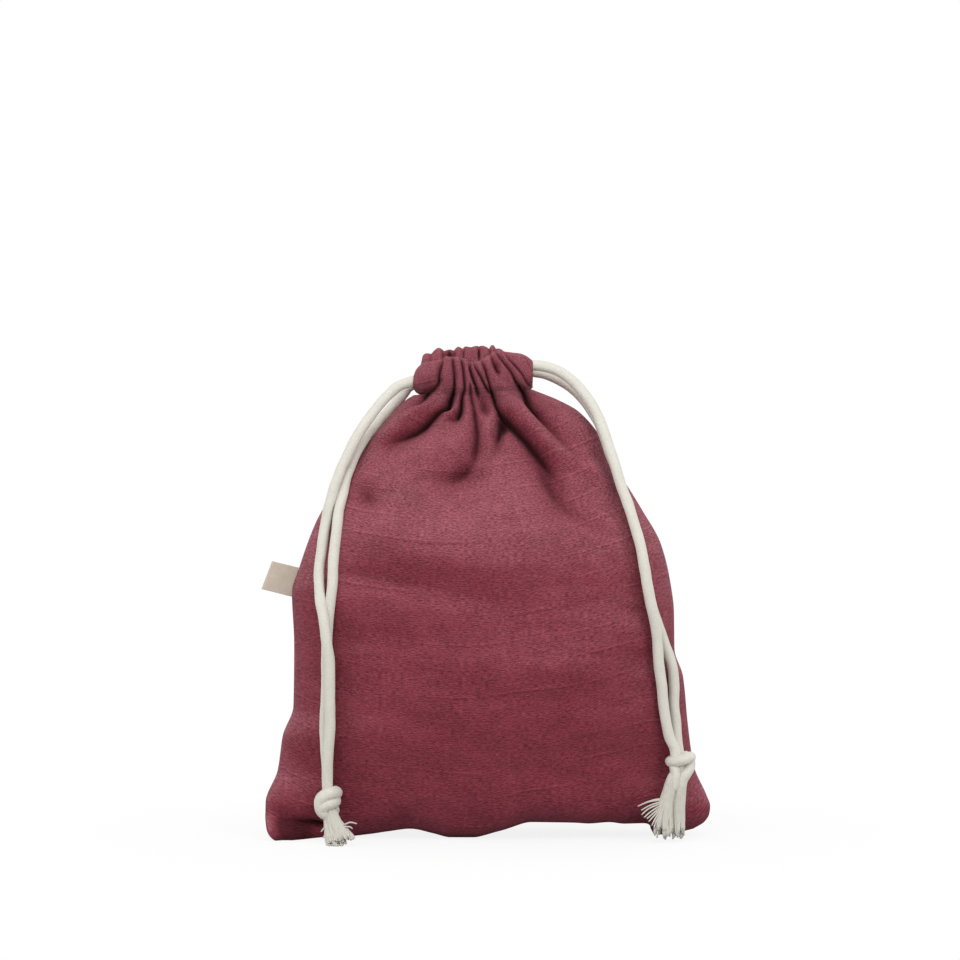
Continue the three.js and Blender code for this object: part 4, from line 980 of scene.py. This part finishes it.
def makeAllowance(name, grid):
    rows, columns, _ = grid.shape
    length, width = np.broadcast_arrays(np.arange(rows)[:, None], np.linspace(0, seamShape["width"], columns))
    cloth = sheetPart(grid, np.stack([length, width], -1) * mm)
    solid(makePiece(name + "_allowance", cloth, gauzeCloth, "bag", [name]), seamShape["thickness"])
    # the overcasting: a thread that zigzags over the raw edge
    at = np.arange((rows - 2) // 2) * 2
    path = mixValues(grid[at, -5][:, None], grid[at + 1, -1][:, None], np.linspace(0, 1, 7)[:, None])
    paths = np.concatenate([path + np.array([0, face * seamShape["threadOut"], 0]) for face in (-1, 1)])
    makePiece(name + "_overcast", strandTubes(paths, seamShape["thread"], 5, 1), seamThread, "bag")


makeSeams()
print("seams and stitching made")

# Knots: an overhand knot in both ends of a cord, as the line of its strand round the legs. Points are from
# the knot's middle; each strand has its squeezed radius and how much of the braid still shows
knotShape = {
    "left": {"seed": 70, "centre": [-82, -31.8, 19.6], "core": ([0.2, 0, 0.4], [5.2, 5.4, 6.8]),
        "strands": [([[4.4, 4, 5.4], [4, -1.4, 6.1], [1.9, -4.5, 5.8], [-1.3, -5, 4.3], [-3.3, -4.2, 1.3],
        [-3.3, -3.6, -2], [-1.5, -3, -4.5], [1.8, -1.4, -4.7], [3, 2.4, -3.2]], 3.25, 0.08), ([[3.8, 3.6, 1.7],
        [3.9, -1.2, 1.4], [2.1, -4.3, 0.9], [-0.8, -4.9, -0.2], [-2.4, -4.2, -2], [-2.2, -2.6, -4]], 3.1, 0.08),
        ([[3.6, 3, 5], [-0.4, 4.6, 4.6], [-3.4, 3.2, 2.4], [-3.8, 1.2, -0.8], [-1.6, 2.4, -3.6], [1.8, 3.6, -3]], 3.2,
        0.08)]},
    "right": {"seed": 90, "centre": [101.4, -25.4, 38], "core": ([-0.3, 0.4, -0.6], [5, 4.6, 7]),
        "strands": [([[3.4, 3.6, 5.4], [-1.6, 4.2, 4.4], [-4.7, 1.4, 3.2], [-4.6, -2.2, 3], [-1.6, -4.6, 3.6],
        [2.2, -4.9, 4.6], [4.8, -2.8, 5.4], [5.1, 0.4, 5.2], [3.6, 3.6, 4.2]], 2.8, 0.12), ([[4.4, 2.2, 4],
        [5.1, -0.6, 2.4], [4.6, -2.6, -0.4], [2.8, -3.7, -3.2], [1, -3.4, -6.2], [0.4, -3, -9]], 2.75, 0.12),
        ([[-3.2, 3, 2.4], [-3.6, -0.4, 1.6], [-2.8, -3.2, -0.4], [-2.6, -4, -3.4], [-3.2, -4, -7], [-4.2, -4, -10]],
        2.7, 0.12), ([[-1, 4.2, 2.6], [-3, 3.2, -1], [-1, 3.4, -4], [2.2, 2.6, -3], [3.6, 1.2, 0.4]], 2.5, 0.1)]},
}


def knotParts(spec):
    centre, (place, size) = np.array(spec["centre"]), spec["core"]
    parts = [tubePart(*cordRings(np.array(points) + centre, spec["seed"] + k, radius, relief))
             for k, (points, radius, relief) in enumerate(spec["strands"])]
    # the middle, hidden by the strands: an oval ball
    down, around = np.linspace(0.02, 0.98, 24)[:, None] * np.pi, turns(40)[None]
    ball = np.stack([np.sin(down) * np.cos(around), np.sin(down) * np.sin(around), -np.cos(down) + 0 * around], -1)
    return parts + [tubePart(centre + place + ball * size, np.linspace(0, 0.016, 24))]


def makeKnots():
    return {hand + "_knot": makePiece(hand + "_knot_cotton", knotParts(spec), cordCotton, hand + "_cord",
                                      [hand + "_knot"]) for hand, spec in knotShape.items()}


cordKnots = makeKnots()
print("knots made")

# Frayed ends: the cord's threads opened out. Points run from the knot to the tips; "half" gives the half widths
# side to side and front to back along that line, and "open" how far down the threads stay together
tailShape = {
    "left_front_tail": {"line": [[-80.4, -34.6, 16.6], [-78.8, -37.6, 12.4], [-76.6, -42, 8], [-74.7, -46.6, 4.6],
        [-73.2, -50.4, 2.2]], "half": ([2.7, 3.1, 4.1, 5.2, 6], [2.5, 2.5, 2.4, 2.2, 1.8]), "threads": 190,
        "clumps": 8, "seed": 5, "open": 0.25},
    "left_back_tail": {"line": [[-81.2, -33.6, 15.6], [-80.6, -35.8, 11.4], [-79.8, -39.6, 7.2], [-78.7, -44.4, 4],
        [-77.4, -49.6, 1.8]], "half": ([2.7, 2.9, 3.4, 4, 4.6], [2.5, 2.4, 2.3, 2.1, 1.8]), "threads": 140,
        "clumps": 6, "seed": 6, "open": 0.25},
    "right_front_tail": {"line": [[99.4, -27.6, 37.4], [96.9, -29, 32.2], [95.6, -29.8, 26.8], [94, -30.8, 20.8],
        [92.8, -32.6, 13.5], [92, -35.6, 5.2]], "half": ([1.2, 2.5, 3, 3.5, 4.1, 4.8], [1.2, 2.4, 2.5, 2.5, 2.3, 2]),
        "threads": 170, "clumps": 7, "seed": 7, "open": 0.5},
    "right_back_tail": {"line": [[101.6, -27.4, 33], [101, -28, 27.5], [100.5, -28.8, 21], [100.1, -30.2, 13],
        [100.1, -32.6, 4.4]], "half": ([2.8, 3, 3, 3, 3.1], [2.6, 2.6, 2.5, 2.3, 2]), "threads": 130, "clumps": 5,
        "seed": 8, "open": 0.5},
}
# The threads' own sizes, their tips' share of the radius, and how finely the body inside is drawn
fray = {"radius": (0.5, 0.68), "loose": 0.48, "tip": 0.75, "sides": 6, "steps": 16, "coreSteps": 60, "coreSides": 72}
# Single threads that stand away, from the tail's middle line outwards
looseThreads = {
    "left_front_tail": [[[-76, -41.6, 10], [-72.6, -44, 10.4], [-69.6, -45, 11.6], [-66.2, -45, 10.9]],
        [[-75.6, -42.4, 9], [-72, -45.2, 9.4], [-69.6, -46.6, 9.4], [-68.4, -47.2, 8.6]]],
    "left_back_tail": [[[-81, -38.6, 8.6], [-83.2, -39.8, 8], [-84.9, -40.4, 6.2]], [[-80.8, -40.4, 6],
        [-82.6, -41.6, 4.6], [-84, -42, 3.2]]],
    "right_front_tail": [[[92.6, -30.4, 21.6], [88.8, -32, 21.4], [84, -32.8, 20.6], [78.9, -32.6, 18.4]],
        [[92.4, -30.6, 20.8], [88.4, -32.6, 20], [84.4, -33.4, 18.6], [80.6, -33.4, 16.4]], [[92.2, -30.8, 20],
        [88, -33, 18.8], [84, -34, 17], [80.8, -34.2, 14.2]], [[92.2, -31, 19.2], [88.4, -33.4, 17.6],
        [85, -34.4, 15.4], [82, -34.8, 12.8]], [[92.2, -31.2, 18.4], [88.8, -33.6, 16.6], [86, -34.8, 14.4],
        [83.4, -35.2, 12.2]], [[92.2, -31.4, 17.6], [89.2, -33.8, 15.8], [86.8, -35, 13.4], [84.4, -35.6, 10.8]],
        [[92.2, -31.6, 16.8], [89.6, -34, 14.8], [87.6, -35.4, 12], [85.9, -36, 8.8]], [[92.2, -31.8, 16],
        [90, -34.2, 13.6], [88.2, -35.6, 10.8], [87, -36.2, 7.6]], [[92.6, -30.2, 21.8], [89.6, -31.4, 22],
        [86.2, -32.2, 21.4], [82.6, -32.4, 20.2]]],
    "right_back_tail": [[[101.6, -30.8, 10], [102.6, -32.2, 6.6], [103, -33.2, 3.4]], [[98.6, -31.6, 8.6],
        [98, -33.2, 5], [97.6, -34, 2.2]]],
}


def tailFrame(spec, steps):
    middle = smoothLine(spec["line"], steps)
    along = unit(np.gradient(middle, axis=0))
    sideways = unit(np.cross(np.array([0, 1, 0]), along))
    share = np.linspace(0, 1, steps)
    at = np.linspace(0, 1, len(spec["line"]))
    wide, deep = (through(np.stack([at, values], -1))(share) for values in spec["half"])
    return middle, along, sideways, np.cross(sideways, along), share, wide, deep


def tailPaths(spec):
    # Threads lie near the outside of an oval, keep together for a while, then draw into a few clumps and wave
    random = np.random.default_rng(spec["seed"])
    count = spec["threads"]
    middle, along, sideways, forwards, share, wide, deep = tailFrame(spec, fray["steps"])
    angle, reach = random.uniform(0, 2 * np.pi, count), np.sqrt(random.uniform(0.45, 1, count))
    opened = ease(share, spec["open"], 1.0)
    clumpAt = np.round(angle / (2 * np.pi) * spec["clumps"]) + random.uniform(-0.2, 0.2)
    nearest = 2 * np.pi * clumpAt / spec["clumps"]
    turn = angle[:, None] + (nearest - angle)[:, None] * 0.55 * opened
    wave = np.sin(share * random.uniform(5, 11, (count, 1)) + random.uniform(0, 6.3, (count, 1)))
    wave = 0.3 * (0.25 + opened) * wave
    a = np.cos(turn) * reach[:, None] * wide + wave
    b = np.sin(turn) * reach[:, None] * deep + 0.6 * wave
    paths = middle[None] + a[..., None] * sideways + b[..., None] * forwards
    clump = 0.06 * np.cos(nearest * 2.6 + spec["seed"])[:, None]
    tips = (random.uniform(-0.10, 0.05, (count, 1)) + clump) * np.linalg.norm(middle[-1] - middle[0]) * share**3
    paths = paths + tips[..., None] * along[None]
    paths[..., 2] = np.maximum(paths[..., 2], 0.5)
    return paths, random.uniform(*fray["radius"], count)


def tailCore(spec):
    # The threads inside, as one grooved body that ends short of the tips
    middle, _, sideways, forwards, share, wide, deep = tailFrame(spec, fray["coreSteps"])
    angle = turns(fray["coreSides"])
    share = share[:, None]
    closing = 0.97 * np.sqrt(1 - (1 - np.clip((0.95 - share) / 0.22, 0.01, 1)) ** 2)
    grooves = 1 + 0.07 * np.sin(13 * angle + spec["seed"] + 2 * share) + 0.04 * np.sin(29 * angle + 5 * share)
    body = middle[:, None] + (closing * grooves)[..., None] * circles(
        angle, wide[:, None] * sideways, deep[:, None] * forwards)
    body[..., 2] = np.maximum(body[..., 2], 0.3)
    return tubePart(body, np.linspace(0, 0.03, len(share)))


def makeTails():
    tails = {}
    for name, spec in tailShape.items():
        paths, radius = tailPaths(spec)
        loose = np.stack([smoothLine(p, 15) for p in looseThreads[name]])
        parts = [tailCore(spec), *(strandTubes(lines, size, fray["sides"], fray["tip"])
                                   for lines, size in ((paths, radius), (loose, fray["loose"])))]
        tails[name] = makePiece(name + "_fray", parts, strandCotton, cordBody(name), [name])
    return tails


cordTails = makeTails()
print("frayed ends made")

# The label: a strip of tape folded in two, its ends caught in the left seam. Corners as [x, z]
labelShape = {"nearTop": [-99.0, 141.2], "nearBottom": [-102.3, 125.7], "farTop": [-113.2, 144.6],
              "farBottom": [-118.8, 129.9], "opening": 1.5, "tape": 0.5, "curl": 0.9, "flat": 0.93,
              "length": 31, "width": 16}


def makeLabel():
    rows, columns = 90, 40
    t, w = np.linspace(-1, 1, rows)[:, None], np.linspace(0, 1, columns)[None]
    # along the strip: from the seam to the fold and back, rounded where it turns over
    reach = np.clip(1 - np.abs(t), 0, 1)
    flat = labelShape["flat"]
    reach = np.where(reach > flat, flat + (1 - flat) * np.sin((reach - flat) / (1 - flat) * math.pi / 2), reach)
    gapProfile = np.sign(t) * labelShape["opening"] / 2 * np.clip(np.minimum(1, np.abs(t) / 0.06), 0, 1) ** 0.5
    gapProfile = gapProfile * mixValues(0.55, 1, reach)
    corner = {k: np.array(labelShape[k], float) for k in ("nearTop", "nearBottom", "farTop", "farBottom")}
    near = mixValues(corner["nearBottom"], corner["nearTop"], w[..., None])
    far = mixValues(corner["farBottom"], corner["farTop"], w[..., None])
    place = mixValues(near, far, reach[..., None])
    y = gapProfile + labelShape["curl"] * reach**2 * (w - 0.35)
    grid = np.stack([place[..., 0], y, place[..., 1]], -1)
    length, width = np.broadcast_arrays(np.linspace(0, labelShape["length"], rows)[:, None], w * labelShape["width"])
    part = sheetPart(grid, np.stack([length, width], -1) * mm)
    piece = makePiece("side_label_tape", part, labelTape, "label", ["side_label"])
    return solid(piece, labelShape["tape"])


makeLabel()
print("label made")


# For each cord leg: its frayed end, its path and its length, worked out and then left unused
def declareSoft():
    for name, leg in cordLegs.items():
        hand = name.split("_")[0]
        tail = cordTails[hand + ("_front_tail" if "front" in name else "_back_tail")]
        path = smoothLine(legRoutes[name], 36) * mm
        length = float(runLengths(smoothLine(legRoutes[name], 400))[-1]) * mm
        cordKnots[hand + "_knot"]


declareSoft()


# Light and floor, in metres and watts. A lamp has its place, its aim, its size and its power. "floorGlow" is how white
# the camera sees the floor under the bag and away from it, and "shadowReach" where the first gives way to the second
studio = {
    "surroundings": 0.98, "floorColour": 0.44, "floorSeen": 0.74, "floorGlow": (0.86, 1.0), "floorHalf": 4.0,
    "shadowReach": (0.10, 0.26), "shadowDepth": 1.6,
    "lamps": {"keySoftbox": ((-0.15, -0.50, 0.80), (0, 0, 0.13), 0.6, 2.2),
              "leftSoftbox": ((-1.35, -0.72, 0.55), (0, 0, 0.12), 0.9, 2.4),
              "rightSoftbox": ((0.80, -0.80, 0.70), (0.02, 0, 0.18), 0.6, 3.2)},
}


def mixShaders(tree, share, first, second, output):
    mix = tree.nodes.new("ShaderNodeMixShader")
    for start, end in ((share.socket, mix.inputs[0]), (first.outputs[0], mix.inputs[1]),
                       (second.outputs[0], mix.inputs[2]), (mix.outputs[0], output.inputs["Surface"])):
        tree.links.new(start, end)


def makeWorld():
    # White to the camera, to mirrors and through glass, and a little dimmer as a light
    world = bpy.data.worlds.new("studio")
    scene.world = world
    world.use_nodes = True
    tree = world.node_tree
    background, seen = tree.nodes["Background"], tree.nodes.new("ShaderNodeBackground")
    for node, strength in ((background, studio["surroundings"]), (seen, 1)):
        node.inputs["Color"].default_value, node.inputs["Strength"].default_value = (1, 1, 1, 1), strength
    rays = tree.nodes.new("ShaderNodeLightPath").outputs
    camera, glossy, passing = (Wire(tree, rays["Is " + k + " Ray"]) for k in ("Camera", "Glossy", "Transmission"))
    share = camera.math("MINIMUM", camera + glossy + passing, 1)
    mixShaders(tree, share, background, seen, tree.nodes["World Output"])


def makeLamp(name, place, aim, size, power):
    data = bpy.data.lights.new(name, "AREA")
    data.shape, data.size, data.energy = "DISK", size, power
    lamp = bpy.data.objects.new(name, data)
    lamp.location = place
    lamp.rotation_euler = (Vector(aim) - Vector(place)).to_track_quat("-Z", "Y").to_euler()
    scene.collection.objects.link(lamp)


def makeFloor():
    # Seen by the camera the floor is white, with what is left of the bag's shadow close to it
    f = Finish("paleFloor")
    nodes = f.tree.nodes
    camera = Wire(f.tree, nodes.new("ShaderNodeLightPath").outputs["Is Camera Ray"])
    dull, seen = (studio["floorColour"],) * 3, (studio["floorSeen"],) * 3
    plug(f.tree, f.shader.inputs["Base Color"], f.mixed(camera, dull, seen))
    f.shader.inputs["Roughness"].default_value = 1
    f.shader.inputs["Specular IOR Level"].default_value = 0
    x, y = f.split(f.node("TexCoord", output=3))
    away = (x * x + y * y * studio["shadowDepth"]).power(0.5)
    near, far = studio["floorGlow"]
    share = camera * (near + away.between(*studio["shadowReach"]) * (far - near))
    mixShaders(f.tree, share, f.shader, nodes.new("ShaderNodeEmission"), nodes["Material Output"])
    half = studio["floorHalf"]
    mesh = bpy.data.meshes.new("floor")
    mesh.from_pydata([(-half, -half, 0), (half, -half, 0), (half, half, 0), (-half, half, 0)], [], [(0, 1, 2, 3)])
    mesh.materials.append(f.material)
    floor = bpy.data.objects.new("floor", mesh)
    scene.collection.objects.link(floor)


makeWorld()
for name, lamp in studio["lamps"].items():
    makeLamp(name, *lamp)
makeFloor()
scene.view_settings.view_transform = "Standard"
print("light and floor made")
